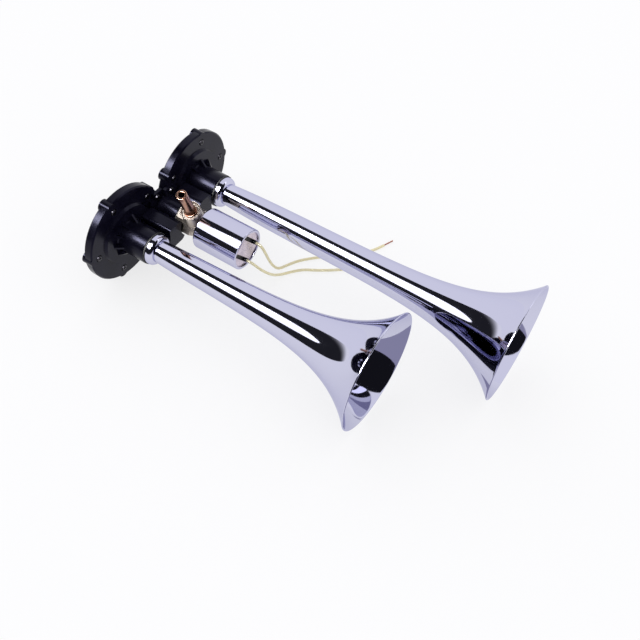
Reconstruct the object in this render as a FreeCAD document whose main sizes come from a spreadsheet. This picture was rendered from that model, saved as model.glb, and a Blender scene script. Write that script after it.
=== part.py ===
import FreeCAD, Part
import math
import os
import types

import Sketcher

# Twin-trumpet truck horn: two sound units side by side, a manifold between them that
# feeds both, and an electric air valve with its hose nipple and leads on the manifold.
# Frame: +X along the trumpets towards their mouths, +Y from the short trumpet to the
# long one, +Z up, origin between the two bracket holes on the bracket face. Millimetres.

V = FreeCAD.Vector
doc = FreeCAD.newDocument("truck_horn")
sheet = doc.addObject("Spreadsheet::Sheet", "sizes")

SIZES = (
    ("axis_gap", 92, "distance between the two trumpet axes"),
    ("axis_height", 18, "trumpet axes above the bracket face"),
    ("face_back", 19, "short housing's front face behind the bracket holes"),
    ("face_step", 4, "long housing set forward of the short one"),
    ("flange_radius", 45.85, "round flange of each sound unit"),
    ("flange_depth", 5, "thickness of the front moulding's flange"),
    ("edge_chamfer", 1.2, "chamfer on flange and cover rims"),
    ("plateau_radius", 30, "raised middle of the front moulding"),
    ("plateau_rise", 2.5, "height of that raised middle"),
    ("plateau_bevel", 1.6, "bevel round the raised middle"),
    ("plateau_wall", 2.3, "wall of the raised middle"),
    ("chamber_radius", 27.5, "air chamber behind the raised middle"),
    ("hub_radius", 15.5, "outside of the hub that holds the trumpet"),
    ("hub_length", 30, "hub's end, ahead of the front face"),
    ("hub_blend", 1, "blend at the foot of the hub"),
    ("hub_bevel", 0.5, "bevel round the hub's end"),
    ("socket_radius", 12.4, "threaded socket in the hub"),
    ("socket_depth", 16, "depth of that socket"),
    ("nozzle_radius", 8.5, "outside of the nozzle behind the diaphragm face"),
    ("nozzle_bore", 6, "sound passage through the nozzle"),
    ("gusset_radius", 21, "reach of the gussets round the hub"),
    ("gusset_top", 9.5, "where a gusset meets the hub, ahead of the face"),
    ("gusset_width", 2, "thickness of a gusset"),
    ("gusset_pitch", 36, "degrees from gusset to gusset"),
    ("gusset_count", 4, "gussets from the outer side round to each end"),
    ("seat_radius", 34, "recess that holds gasket and diaphragm"),
    ("gasket_depth", 1, "thickness of the gasket"),
    ("gasket_radius", 29, "hole in the gasket"),
    ("diaphragm_depth", 0.4, "thickness of the diaphragm"),
    ("disc_slack", 0.3, "gap round gasket and diaphragm"),
    ("screw_circle", 37, "radius of the ring of housing screws"),
    ("screw_count", 5, "screws round each housing"),
    ("screw_core", 1.5, "radius of a screw's shank"),
    ("screw_head", 2.8, "radius of a screw's head"),
    ("screw_cap", 1.9, "height of a screw's head"),
    ("screw_sink", 1, "depth of the recess for a screw's head"),
    ("hole_slack", 0.2, "radial gap round a screw"),
    ("ear_circle", 40.9, "radius to the middle of a screw ear"),
    ("ear_radius", 5.8, "radius of a screw ear"),
    ("ear_depth", 5.6, "depth of a screw ear on the rear cover"),
    ("cover_rim", 3.7, "thickness of the rear cover's rim"),
    ("cover_wall", 2, "wall of the rear cover's pan"),
    ("cover_hollow", 5.5, "air space behind the diaphragm"),
    ("pan_radius", 30.5, "outside of the rear cover's pan"),
    ("pan_draft", 2.5, "slope of the pan's side"),
    ("rib_rise", 1.4, "height of the rear cover's ribs"),
    ("rib_width", 2.2, "thickness of the rear cover's ribs"),
    ("rib_start", 6, "ribs start this far from the middle"),
    ("seal_depth", 1.2, "sealing ring between hub and trumpet collar"),
    ("thread_slack", 0.1, "radial gap in a threaded fit"),
    ("collar_radius", 14.5, "trumpet collar"),
    ("collar_length", 1.4, "length of that collar"),
    ("neck_radius", 10, "trumpet tube just ahead of the collar"),
    ("neck_blend", 5.1, "length of the dome from the collar down to the tube"),
    ("taper_length", 40, "distance over which the tube widens"),
    ("short_tube", 12.2, "short trumpet's tube, radius before the flare"),
    ("long_tube", 13, "long trumpet's tube, radius before the flare"),
    ("bell_radius", 55, "radius of both mouths"),
    ("bell_length", 100, "length of the spun bell brazed to each tube"),
    ("flare_length", 39, "length in which the flare grows e-fold"),
    ("short_reach", 260, "short trumpet's mouth ahead of its housing's face"),
    ("long_reach", 336, "long trumpet's mouth ahead of its housing's face"),
    ("trumpet_wall", 1.2, "wall of the trumpets"),
    ("bead_radius", 1.5, "rolled edge of a mouth"),
    ("inlet_offset", 21.6, "air inlet of a housing, from its trumpet axis"),
    ("inlet_hole", 5.6, "radius of that inlet"),
    ("spigot_radius", 4.8, "manifold spigot in the inlet"),
    ("spigot_reach", 4.3, "length of that spigot"),
    ("ring_section", 0.8, "radius of the small O-rings' section"),
    ("ring_slack", 0.05, "gap left round an O-ring's section"),
    ("duct_radius", 3, "air ducts in the manifold"),
    ("duct_place", 14, "cross duct ahead of the short housing's face"),
    ("plate_depth", 3.2, "plates that lie on the flanges"),
    ("plate_start", 30.8, "near edge of a plate, from the trumpet axis"),
    ("plate_half", 15, "half the height of a plate's near part"),
    ("lug_start", 35.5, "near edge of a plate's lugs"),
    ("lug_half", 20.5, "half the height across a plate's lugs"),
    ("lug_screw_side", 38.8, "manifold screw, sideways from the trumpet axis"),
    ("lug_screw_rise", 16, "manifold screw, up or down from the trumpet axis"),
    ("lug_screw_length", 6.8, "length of a manifold screw under its head"),
    ("fit_gap", 0.3, "clearance between mouldings"),
    ("arm_far", 35.4, "far side of a manifold arm, from the trumpet axis"),
    ("arm_top", 10, "top of an arm above the trumpet axis"),
    ("arm_bottom", 13, "underside of an arm below the trumpet axis"),
    ("arm_end", 35, "front end of both arms, ahead of the short housing's face"),
    ("arm_round", 8, "rounding of an arm's long edges"),
    ("boss_radius", 12.5, "middle boss that carries the valve"),
    ("boss_end", 25, "front of that boss, ahead of the short housing's face"),
    ("insert_gap", 41, "distance between the two bracket holes"),
    ("insert_radius", 5.5, "threaded insert for the bracket"),
    ("insert_bore", 3.4, "radius of the insert's thread core"),
    ("insert_depth", 11, "length of the insert"),
    ("insert_boss", 8.5, "radius of the boss round an insert"),
    ("valve_thread", 8, "radius of the valve body's threaded spigot"),
    ("valve_reach", 15, "length of that spigot"),
    ("valve_hex", 24.4, "valve body's hexagon across flats"),
    ("valve_hex_length", 16.8, "length of the hexagon"),
    ("valve_neck", 12, "radius of the round neck behind the can"),
    ("valve_length", 24.8, "valve body from boss to can"),
    ("valve_bore", 3.4, "outlet passage in the valve body"),
    ("valve_seat", 9.5, "seat lip, ahead of the boss"),
    ("valve_chamber", 8.2, "radius of the chamber round the plunger's nose"),
    ("valve_floor", 7.5, "chamber floor, ahead of the boss"),
    ("valve_lip", 4.6, "outside of the seat lip"),
    ("washer_depth", 1, "sealing washer under the valve body"),
    ("nipple_place", 15.4, "hose nipple's axis, ahead of the boss"),
    ("nipple_tilt", 19.4, "degrees that the nipple leans to the short side"),
    ("nipple_boss", 9.3, "round boss under the nipple"),
    ("nipple_seat", 23.5, "top of that boss, from the valve's axis"),
    ("nipple_recess", 2.4, "depth of the recess in that boss"),
    ("nipple_lip", 1.1, "wall round that recess"),
    ("nipple_foot", 6.1, "nipple's radius at its foot"),
    ("nipple_tip", 4.85, "nipple's radius at its plain end"),
    ("nipple_plain", 14, "length of that plain end"),
    ("nipple_bore", 2.8, "bore of the nipple"),
    ("nipple_reach", 51, "nipple's end, from the valve's axis"),
    ("nipple_sink", 8, "how deep the nipple sits in its boss"),
    ("nipple_neck", 5.3, "nipple's radius above its foot"),
    ("nipple_edge", 0.4, "small bevels on the nipple and its boss"),
    ("can_radius", 19.5, "solenoid can"),
    ("can_length", 46.7, "length of the can"),
    ("can_wall", 1.2, "wall of the can"),
    ("can_corner", 2.2, "corner at the can's back"),
    ("can_edge", 0.9, "rounded front edge of the can"),
    ("can_lip", 16.9, "opening inside the can's rolled edge"),
    ("can_roll", 1.5, "depth of the rolled edge"),
    ("end_depth", 1.8, "thickness of the end plate"),
    ("band_rise", 0.7, "raised band across the end plate"),
    ("slot_offset", 8.8, "slots on each side of the band, from the middle"),
    ("slot_half", 12.3, "half the length of a slot"),
    ("slot_radius", 1.9, "half the width of a slot"),
    ("slot_turn", -51.5, "degrees that the band is turned from +Y"),
    ("bobbin_radius", 17.8, "bobbin flanges"),
    ("bobbin_flange", 2, "thickness of a bobbin flange"),
    ("bobbin_tube", 8.4, "outside of the bobbin's tube"),
    ("bobbin_gap", 0.4, "gap between bobbin and can"),
    ("coil_radius", 16.4, "outside of the copper winding"),
    ("tube_outer", 7.3, "outside of the plunger's guide tube"),
    ("tube_wall", 0.5, "wall of that tube"),
    ("tube_length", 41, "length of that tube"),
    ("plunger_slack", 0.1, "radial gap round the plunger"),
    ("plunger_length", 25, "length of the plunger"),
    ("plunger_travel", 2.5, "stroke of the plunger"),
    ("pocket_radius", 4, "spring pocket in the plunger"),
    ("pocket_depth", 9, "depth of that pocket"),
    ("seat_disc", 4.2, "rubber seat disc in the plunger's nose"),
    ("seat_disc_depth", 2.2, "thickness of that disc"),
    ("spring_radius", 3, "mean radius of the return spring"),
    ("spring_wire", 0.4, "radius of the spring's wire"),
    ("spring_turns", 5, "turns of the spring"),
    ("core_foot", 5, "radius of the fixed core's riveted foot"),
    ("lead_radius", 1.3, "outside of a lead's insulation"),
    ("strand_radius", 0.75, "bare end of a lead"),
    ("strand_length", 11.5, "length of the bare end"),
    ("lead_exit", 10.2, "where a lead leaves its slot, along the slot"),
    ("grommet_wall", 0.5, "wall of the sleeve round a lead"),
    ("lead_out", 3.6, "lead runs straight this far out of its sleeve"),
    ("grommet_reach", 1.4, "sleeve stands this far out of the end plate"),
)


class Size:
    """A number that knows the cells it comes from, so a sketch can be bound to them."""

    def __init__(self, number, text):
        self.number = number
        self.text = text

    def __add__(self, other):
        return Size(self.number + number_of(other), "(%s + %s)" % (self.text, text_of(other)))

    def __sub__(self, other):
        return Size(self.number - number_of(other), "(%s - %s)" % (self.text, text_of(other)))

    def __mul__(self, other):
        return Size(self.number * number_of(other), "(%s * %s)" % (self.text, text_of(other)))

    def __truediv__(self, other):
        return Size(self.number / number_of(other), "(%s / %s)" % (self.text, text_of(other)))

    def __neg__(self):
        return Size(-self.number, "(0 - %s)" % self.text)


def number_of(value):
    return value.number if isinstance(value, Size) else value


def text_of(value):
    return value.text if isinstance(value, Size) else "%g" % value


S = types.SimpleNamespace()
for row, (alias, value, meaning) in enumerate(SIZES, start=1):
    sheet.set("A%d" % row, meaning)
    sheet.set("B%d" % row, str(value))
    sheet.setAlias("B%d" % row, alias)
    setattr(S, alias, Size(value, "sizes.%s" % alias))
doc.recompute()

NOTHING = Size(0, "0")
nodes = []


def keep(node):
    """Marks an object as a finished piece of the horn."""
    nodes.append(node)
    return node


# Sketches and features

def new_body(label):
    body = doc.addObject("PartDesign::Body", label)
    body.Label = label
    return body


def origin_part(body, role):
    return [part for part in body.Origin.OriginFeatures if part.Role == role][0]


def new_sketch(body, role, offset=None):
    sketch = body.newObject("Sketcher::SketchObject", body.Label + "_sketch")
    sketch.AttachmentSupport = [(origin_part(body, role), "")]
    sketch.MapMode = "FlatFace"
    if offset is not None:
        sketch.AttachmentOffset = FreeCAD.Placement(V(0, 0, offset.number), FreeCAD.Rotation())
        sketch.setExpression("AttachmentOffset.Base.z", offset.text)
    return sketch


def pin(sketch, element, end, x, y):
    """Ties one point of a sketch to its place, by expressions."""
    for value, kind, axis in ((x, "DistanceX", -2), (y, "DistanceY", -1)):
        if abs(number_of(value)) < 1e-9:
            sketch.addConstraint(Sketcher.Constraint("PointOnObject", element, end, axis))
            continue
        at = sketch.addConstraint(
            Sketcher.Constraint(kind, -1, 1, element, end, number_of(value)))
        sketch.setExpression("Constraints[%d]" % at, text_of(value))


def closed_outline(sketch, corners):
    """Straight lines round the corners, every corner pinned."""
    first = len(sketch.Geometry)
    points = [V(number_of(x), number_of(y), 0) for x, y in corners]
    count = len(points)
    for at in range(count):
        sketch.addGeometry(Part.LineSegment(points[at], points[(at + 1) % count]), False)
    for at in range(count):
        sketch.addConstraint(Sketcher.Constraint(
            "Coincident", first + at, 2, first + (at + 1) % count, 1))
    for at, (x, y) in enumerate(corners):
        pin(sketch, first + at, 1, x, y)


def circle(sketch, x, y, radius):
    at = sketch.addGeometry(
        Part.Circle(V(number_of(x), number_of(y), 0), V(0, 0, 1), radius.number), False)
    pin(sketch, at, 3, x, y)
    place = sketch.addConstraint(Sketcher.Constraint("Radius", at, radius.number))
    sketch.setExpression("Constraints[%d]" % place, radius.text)


def revolve(body, corners, axis="X"):
    """Turns a section round X, from (x, radius) corners, or round Z, from (z, radius)."""
    if axis == "X":
        sketch = new_sketch(body, "XY_Plane")
        closed_outline(sketch, corners)
    else:
        sketch = new_sketch(body, "XZ_Plane")
        closed_outline(sketch, [(radius, z) for z, radius in corners])
    turned = body.newObject("PartDesign::Revolution", body.Label + "_turned")
    turned.Profile = sketch
    turned.ReferenceAxis = (sketch, ["H_Axis" if axis == "X" else "V_Axis"])
    turned.Angle = 360
    doc.recompute()
    return turned


def pad(body, sketch, length, backwards=False, symmetric=False):
    feature = body.newObject("PartDesign::Pad", body.Label + "_pad")
    feature.Profile = sketch
    feature.Length = length.number
    feature.setExpression("Length", length.text)
    feature.Reversed = backwards
    if symmetric:
        feature.SideType = "Symmetric"
    doc.recompute()
    return feature


def pocket(body, sketch, length, backwards=False):
    before = body.Shape.Volume
    feature = body.newObject("PartDesign::Pocket", body.Label + "_pocket")
    feature.Profile = sketch
    feature.Length = length.number
    feature.setExpression("Length", length.text)
    feature.Reversed = backwards
    doc.recompute()
    if body.Shape.Volume > before - 0.5:
        raise RuntimeError("a pocket of %s cuts nothing" % body.Label)
    return feature


def round_x(body, features, count, angle=None, backwards=False):
    """Repeats features round the body's X axis."""
    pattern = body.newObject("PartDesign::PolarPattern", body.Label + "_pattern")
    pattern.Originals = features
    pattern.Axis = (origin_part(body, "X_Axis"), [""])
    pattern.Reversed = backwards
    pattern.Angle = 360 if angle is None else angle.number
    if angle is not None:
        pattern.setExpression("Angle", angle.text)
    pattern.Occurrences = int(count.number)
    pattern.setExpression("Occurrences", count.text)
    body.Tip = pattern
    doc.recompute()
    return pattern


# Placing and plain solids

def place(thing, x=NOTHING, y=NOTHING, z=NOTHING, axis=V(1, 0, 0), degrees=0):
    """Puts an object at x, y, z, turned about an axis, all bound to the sheet."""
    spot = V(number_of(x), number_of(y), number_of(z))
    thing.Placement = FreeCAD.Placement(spot, FreeCAD.Rotation(axis, number_of(degrees)))
    for letter, value in (("x", x), ("y", y), ("z", z)):
        if isinstance(value, Size) and value is not NOTHING:
            thing.setExpression("Placement.Base.%s" % letter, value.text)
    if isinstance(degrees, Size):
        thing.setExpression("Placement.Rotation.Angle", degrees.text)
    return thing


def bind(thing, **values):
    for name, value in values.items():
        setattr(thing, name, number_of(value))
        thing.setExpression(name, text_of(value))
    return thing


def cylinder_x(name, radius, x, length, y=NOTHING, z=NOTHING):
    thing = bind(doc.addObject("Part::Cylinder", name), Radius=radius, Height=length)
    return place(thing, x, y, z, V(0, 1, 0), 90)


def cylinder_z(name, radius, z, height, x=NOTHING, y=NOTHING):
    thing = bind(doc.addObject("Part::Cylinder", name), Radius=radius, Height=height)
    return place(thing, x, y, z)


def block(name, low, high):
    """A box between two corners."""
    sizes = [high[at] - low[at] for at in range(3)]
    thing = doc.addObject("Part::Box", name)
    bind(thing, Length=sizes[0], Width=sizes[1], Height=sizes[2])
    return place(thing, *low)


def joined(label, things):
    whole = doc.addObject("Part::MultiFuse", label)
    whole.Shapes = things
    whole.Refine = True
    whole.Label = label
    return whole


def trimmed(label, base, tools):
    tool = tools[0]
    if len(tools) > 1:
        tool = joined(label + "_tools", tools)
    result = doc.addObject("Part::Cut", label)
    result.Base = base
    result.Tool = tool
    result.Refine = True
    result.Label = label
    return result


def ring_x(label, inner, outer, x, length, y, z):
    """A flat ring or tube along X."""
    body = new_body(label)
    revolve(body, [(NOTHING, inner), (NOTHING, outer), (length, outer), (length, inner)])
    return place(body, x, y, z)


# Places of the sound units

short_face = -S.face_back
long_face = short_face + S.face_step
half_gap = S.axis_gap / 2
UNITS = (
    ("short", short_face, -half_gap, 0, S.short_tube, S.short_reach),
    ("long", long_face, half_gap, 180, S.long_tube, S.long_reach),
)
seat_floor = S.gasket_depth + S.diaphragm_depth - S.flange_depth


def front_housing(label, face, y, turn):
    """Front moulding: flange with ears, raised middle, hub, gussets, nozzle and inlet."""
    body = new_body(label)
    rise = S.plateau_rise
    revolve(body, [
        (S.diaphragm_depth - S.flange_depth, S.nozzle_bore),
        (S.hub_length - S.socket_depth, S.nozzle_bore),
        (S.hub_length - S.socket_depth, S.socket_radius),
        (S.hub_length, S.socket_radius),
        (S.hub_length, S.hub_radius - S.hub_bevel),
        (S.hub_length - S.hub_bevel, S.hub_radius),
        (rise + S.hub_blend, S.hub_radius),
        (rise, S.hub_radius + S.hub_blend),
        (rise, S.plateau_radius - S.plateau_bevel),
        (NOTHING, S.plateau_radius),
        (NOTHING, S.flange_radius - S.edge_chamfer),
        (-S.edge_chamfer, S.flange_radius),
        (-S.flange_depth, S.flange_radius),
        (-S.flange_depth, S.seat_radius),
        (seat_floor, S.seat_radius),
        (seat_floor, S.chamber_radius),
        (rise - S.plateau_wall, S.chamber_radius),
        (rise - S.plateau_wall, S.nozzle_radius),
        (S.diaphragm_depth - S.flange_depth, S.nozzle_radius),
    ])
    gusset = new_sketch(body, "XY_Plane")
    inside = S.hub_radius - S.hub_blend
    closed_outline(gusset, [
        (rise / 2, -inside), (rise / 2, -S.gusset_radius), (rise, -S.gusset_radius),
        (S.gusset_top, -S.hub_radius), (S.gusset_top, -inside)])
    rib = pad(body, gusset, S.gusset_width, symmetric=True)
    sweep = S.gusset_pitch * (S.gusset_count - 1)
    round_x(body, [rib], S.gusset_count, sweep)
    round_x(body, [rib], S.gusset_count, sweep, backwards=True)
    ear = new_sketch(body, "YZ_Plane")
    circle(ear, -S.ear_circle, NOTHING, S.ear_radius)
    round_x(body, [pad(body, ear, S.flange_depth, backwards=True)], S.screw_count)
    hole = new_sketch(body, "YZ_Plane")
    circle(hole, -S.screw_circle, NOTHING, S.screw_core + S.hole_slack)
    round_x(body, [pocket(body, hole, S.flange_depth)], S.screw_count)
    sink = new_sketch(body, "YZ_Plane")
    circle(sink, -S.screw_circle, NOTHING, S.screw_head + S.hole_slack * 2)
    round_x(body, [pocket(body, sink, S.screw_sink)], S.screw_count)
    inlet = new_sketch(body, "YZ_Plane", rise)
    circle(inlet, S.inlet_offset, NOTHING, S.inlet_hole)
    pocket(body, inlet, S.plateau_wall + S.fit_gap)
    threads = new_sketch(body, "YZ_Plane")
    for side in (1, -1):
        circle(threads, S.lug_screw_side, S.lug_screw_rise * side, S.screw_core)
    tapped = pocket(body, threads, S.lug_screw_length - S.plate_depth + S.fit_gap)
    body.Tip = tapped
    return keep(place(body, face, y, S.axis_height, degrees=turn))


def rear_cover(label, face, y, turn):
    """Rear moulding: rim with ears, a shallow pan behind the diaphragm, and its ribs."""
    body = new_body(label)
    front = -S.flange_depth
    rim = front - S.cover_rim
    floor = front - S.cover_hollow
    back = floor - S.cover_wall
    hollow = S.pan_radius - S.cover_wall
    revolve(body, [
        (front, hollow), (front, S.flange_radius),
        (rim + S.edge_chamfer, S.flange_radius), (rim, S.flange_radius - S.edge_chamfer),
        (rim, S.pan_radius), (back, S.pan_radius - S.pan_draft), (back, NOTHING),
        (floor, NOTHING), (floor, hollow - S.pan_draft)])
    rib = new_sketch(body, "XY_Plane")
    reach = S.pan_radius - S.pan_draft - S.cover_wall
    closed_outline(rib, [
        (back + S.cover_wall / 2, -S.rib_start), (back - S.rib_rise, -S.rib_start),
        (back - S.rib_rise, -reach + S.rib_rise), (back, -reach),
        (back + S.cover_wall / 2, -reach)])
    round_x(body, [pad(body, rib, S.rib_width, symmetric=True)], S.screw_count)
    ear = new_sketch(body, "YZ_Plane", front)
    circle(ear, -S.ear_circle, NOTHING, S.ear_radius)
    round_x(body, [pad(body, ear, S.ear_depth, backwards=True)], S.screw_count)
    hole = new_sketch(body, "YZ_Plane", front)
    circle(hole, -S.screw_circle, NOTHING, S.screw_core)
    round_x(body, [pocket(body, hole, S.ear_depth - S.screw_sink)], S.screw_count)
    return keep(place(body, face, y, S.axis_height, degrees=turn))


def screw(direction, x, y, z, head, cap, core, length):
    """A pan-head screw whose head seats at x, y, z and points along direction."""
    axis = V(*direction)
    seat = V(x, y, z)
    top = Part.makeCylinder(head, cap, seat, axis)
    rim = [edge for edge in top.Edges if edge.Closed
           and (edge.CenterOfMass - seat).dot(axis) > cap / 2]
    top = top.makeChamfer(cap * 0.35, rim)
    return top.fuse(Part.makeCylinder(core, length, seat, -axis)).removeSplitter()


def housing_screws(label, face, y, turn):
    """The ring of screws that clamps the two mouldings of a sound unit."""
    n = {name: size.number for name, size in vars(S).items()}
    pieces = []
    length = n["flange_depth"] - n["screw_sink"] + n["ear_depth"] - n["screw_sink"] - n["fit_gap"]
    for at in range(int(n["screw_count"])):
        angle = math.radians(180 + turn + 360 * at / n["screw_count"])
        pieces.append(screw(
            (1, 0, 0), -n["screw_sink"], n["screw_circle"] * math.cos(angle),
            n["screw_circle"] * math.sin(angle), n["screw_head"], n["screw_cap"],
            n["screw_core"], length))
    return feature(label, Part.makeCompound(pieces), face, y, S.axis_height)


def feature(label, shape, x=NOTHING, y=NOTHING, z=NOTHING, axis=V(1, 0, 0), degrees=0):
    """A piece whose form comes from a formula or is a group of separate solids."""
    thing = doc.addObject("Part::Feature", label)
    thing.Shape = shape
    thing.Label = label
    return keep(place(thing, x, y, z, axis, degrees))


def trumpet(side, face, y, tube, reach):
    """Threaded ferrule, drawn tube and spun bell, brazed and plated as one trumpet."""
    n = {name: size.number for name, size in vars(S).items()}
    collar_start = n["hub_length"] + n["seal_depth"]
    dome_start = collar_start + n["collar_length"]
    tube_start = dome_start + n["neck_blend"]
    mouth = reach.number
    flare = n["bell_radius"] - tube.number

    def radius(x):
        widening = 1 - math.exp(-(x - tube_start) / n["taper_length"])
        straight = n["neck_radius"] + (tube.number - n["neck_radius"]) * widening
        return straight + flare * math.exp((x - mouth) / n["flare_length"])

    def slope(x):
        return (radius(x + 0.01) - radius(x - 0.01)) / 0.02

    def turned(edges):
        section = Part.Face(Part.Wire(Part.__sortEdges__(edges)))
        return section.revolve(V(0, 0, 0), V(1, 0, 0), 360)

    lip = mouth - n["bead_radius"]
    rounds = 9
    stations = [tube_start + (lip - tube_start) * (1 - (1 - at / rounds) ** 1.6)
                for at in range(rounds + 1)]
    outer = [V(x, radius(x), 0) for x in stations]
    inner = []
    for x in stations:
        lean = math.hypot(1, slope(x))
        inner.append(V(x + n["trumpet_wall"] * slope(x) / lean,
                       radius(x) - n["trumpet_wall"] / lean, 0))
    outside = Part.BSplineCurve()
    outside.interpolate(outer)
    inside = Part.BSplineCurve()
    inside.interpolate(inner)
    joint = Part.LineSegment(outer[0], inner[0]).toShape()
    rolled = Part.Arc(outer[-1], V(mouth, n["bell_radius"], 0), inner[-1]).toShape()
    whole = turned([joint, outside.toShape(), rolled, inside.toShape()])

    spigot = n["socket_radius"] - n["thread_slack"]
    start = n["hub_length"] - n["socket_depth"] + n["fit_gap"]
    corners = [inner[0], V(start, inner[0].y, 0), V(start, spigot, 0),
               V(collar_start, spigot, 0), V(collar_start, n["collar_radius"], 0),
               V(dome_start, n["collar_radius"], 0)]
    edges = [Part.LineSegment(one, two).toShape() for one, two in zip(corners, corners[1:])]
    # The dome is close to a quarter circle, so its middle lies at the sine of 45 degrees.
    half_way = math.sqrt(0.5)
    middle = V(tube_start - n["neck_blend"] * (1 - half_way),
               outer[0].y + (n["collar_radius"] - outer[0].y) * half_way, 0)
    edges.append(Part.Arc(corners[-1], middle, outer[0]).toShape())
    feature(side + "_ferrule", turned(edges + [joint]), face, y, S.axis_height)

    bell_start = mouth - n["bell_length"]
    room = n["bell_radius"] * 2
    for part, low, high in (("_tube", tube_start - 1, bell_start), ("_bell", bell_start, mouth + 1)):
        slab = Part.makeCylinder(room, high - low, V(low, 0, 0), V(1, 0, 0))
        feature(side + part, whole.common(slab), face, y, S.axis_height)


for name, face, y, turn, tube, reach in UNITS:
    front_housing(name + "_front_housing", face, y, turn)
    rear_cover(name + "_rear_cover", face, y, turn)
    disc = S.seat_radius - S.disc_slack
    keep(ring_x(name + "_gasket", S.gasket_radius, disc,
                face + S.diaphragm_depth - S.flange_depth, S.gasket_depth, y, S.axis_height))
    diaphragm = cylinder_x(name + "_diaphragm", disc, face - S.flange_depth,
                           S.diaphragm_depth, y, S.axis_height)
    keep(diaphragm)
    housing_screws(name + "_housing_screws", face, y, turn)
    keep(ring_x(name + "_trumpet_seal", S.socket_radius + S.thread_slack,
                S.hub_radius - S.disc_slack, face + S.hub_length, S.seal_depth,
                y, S.axis_height))
    trumpet(name, face, y, tube, reach)


# Manifold between the sound units

boss_x = short_face + S.boss_end
valve_x = boss_x + S.washer_depth
hex_corner = S.valve_hex / math.sqrt(3)
duct_x = short_face + S.duct_place
ring_middle = S.inlet_hole - S.ring_section - S.ring_slack
groove_radius = ring_middle - S.ring_section - S.ring_slack


def side_of(sign, distance):
    """Sideways place, measured from a trumpet axis towards the middle."""
    return (half_gap - distance) * sign


def between(one, two):
    return (one, two) if one.number < two.number else (two, one)


def arm(name, sign, face):
    """One arm: a bar with rounded edges between the hub and the middle boss."""
    near, far = between(side_of(sign, S.hub_radius + S.hub_blend + S.fit_gap / 2),
                        side_of(sign, S.arm_far))
    bar = block(name + "_bar",
                (face + S.plateau_rise + S.fit_gap, near, S.axis_height - S.arm_bottom),
                (short_face + S.arm_end, far, S.axis_height + S.arm_top))
    rounded = doc.addObject("Part::Fillet", name)
    rounded.Base = bar
    # Edges 9 to 12 of a box run along X: low near, high near, low far and high far.
    inner_edges = (9, 10) if sign > 0 else (11, 12)
    sizes = {9: 0.35, 10: 0.35, 11: 0.35, 12: 0.35}
    for edge in inner_edges:
        sizes[edge] = 1 if edge in (10, 12) else 0.6
    rounded.Edges = [(edge, S.arm_round.number * share, S.arm_round.number * share)
                     for edge, share in sizes.items()]
    return rounded


def manifold():
    solids = []
    tools = []
    for name, sign, face in (("short", -1, short_face), ("long", 1, long_face)):
        solids.append(arm(name + "_arm", sign, face))
        for part, start, half in (("plate", S.plate_start, S.plate_half),
                                  ("lugs", S.lug_start, S.lug_half)):
            low, high = between(side_of(sign, start), NOTHING)
            solids.append(block(
                name + "_" + part, (face, low, S.axis_height - half),
                (face + S.plate_depth, high, S.axis_height + half)))
        inlet_y = side_of(sign, S.inlet_offset)
        start = face + S.plateau_rise + S.fit_gap - S.spigot_reach
        solids.append(cylinder_x(name + "_spigot", S.spigot_radius, start,
                                 S.spigot_reach + 1, inlet_y, S.axis_height))
        tools.append(ring_x(name + "_groove", groove_radius, S.spigot_radius + 1,
                            face + S.plateau_rise - S.plateau_wall / 2 - S.ring_section,
                            S.ring_section * 2, inlet_y, S.axis_height))
        tools.append(cylinder_x(name + "_feed", S.duct_radius, start - 1,
                                duct_x - start + 1, inlet_y, S.axis_height))
        foot_y = S.insert_gap / 2 * sign
        solids.append(cylinder_z(name + "_foot", S.insert_boss, NOTHING,
                                 S.axis_height - S.arm_bottom + 1, NOTHING, foot_y))
        tools.append(cylinder_z(name + "_socket", S.insert_radius, NOTHING,
                                S.insert_depth + S.fit_gap, NOTHING, foot_y))
        for level in (1, -1):
            tools.append(cylinder_x(
                name + "_lug_hole", S.screw_core + S.hole_slack, face - 1, S.plate_depth + 2,
                side_of(sign, S.lug_screw_side), S.axis_height + S.lug_screw_rise * level))
    solids.append(cylinder_x("middle_boss", S.boss_radius, long_face,
                             boss_x - long_face, NOTHING, S.axis_height))
    tools.append(cylinder_x("hexagon_room", hex_corner + S.fit_gap * 2, boss_x,
                            S.arm_end, NOTHING, S.axis_height))
    duct = bind(doc.addObject("Part::Cylinder", "cross_duct"),
                Radius=S.duct_radius, Height=(half_gap - S.inlet_offset) * 2)
    tools.append(place(duct, duct_x, side_of(1, S.inlet_offset), S.axis_height,
                       V(1, 0, 0), 90))
    tools.append(cylinder_x("valve_socket", S.valve_thread + S.thread_slack,
                            valve_x - S.valve_reach - S.fit_gap, S.valve_reach,
                            NOTHING, S.axis_height))
    return keep(trimmed("manifold", joined("manifold_solid", solids), tools))


manifold()


def o_rings(label):
    """One ring in the groove of each manifold spigot."""
    pieces = []
    for sign, face in ((-1, short_face), (1, long_face)):
        middle = V((face + S.plateau_rise - S.plateau_wall / 2).number,
                   side_of(sign, S.inlet_offset).number, S.axis_height.number)
        pieces.append(Part.makeTorus(ring_middle.number, S.ring_section.number,
                                     middle, V(1, 0, 0)))
    return feature(label, Part.makeCompound(pieces))


def manifold_screws(label):
    pieces = []
    for sign, face in ((-1, short_face), (1, long_face)):
        for level in (1, -1):
            pieces.append(screw(
                (1, 0, 0), (face + S.plate_depth).number,
                side_of(sign, S.lug_screw_side).number,
                (S.axis_height + S.lug_screw_rise * level).number, S.screw_head.number,
                S.screw_cap.number, S.screw_core.number, S.lug_screw_length.number))
    return feature(label, Part.makeCompound(pieces))


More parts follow.
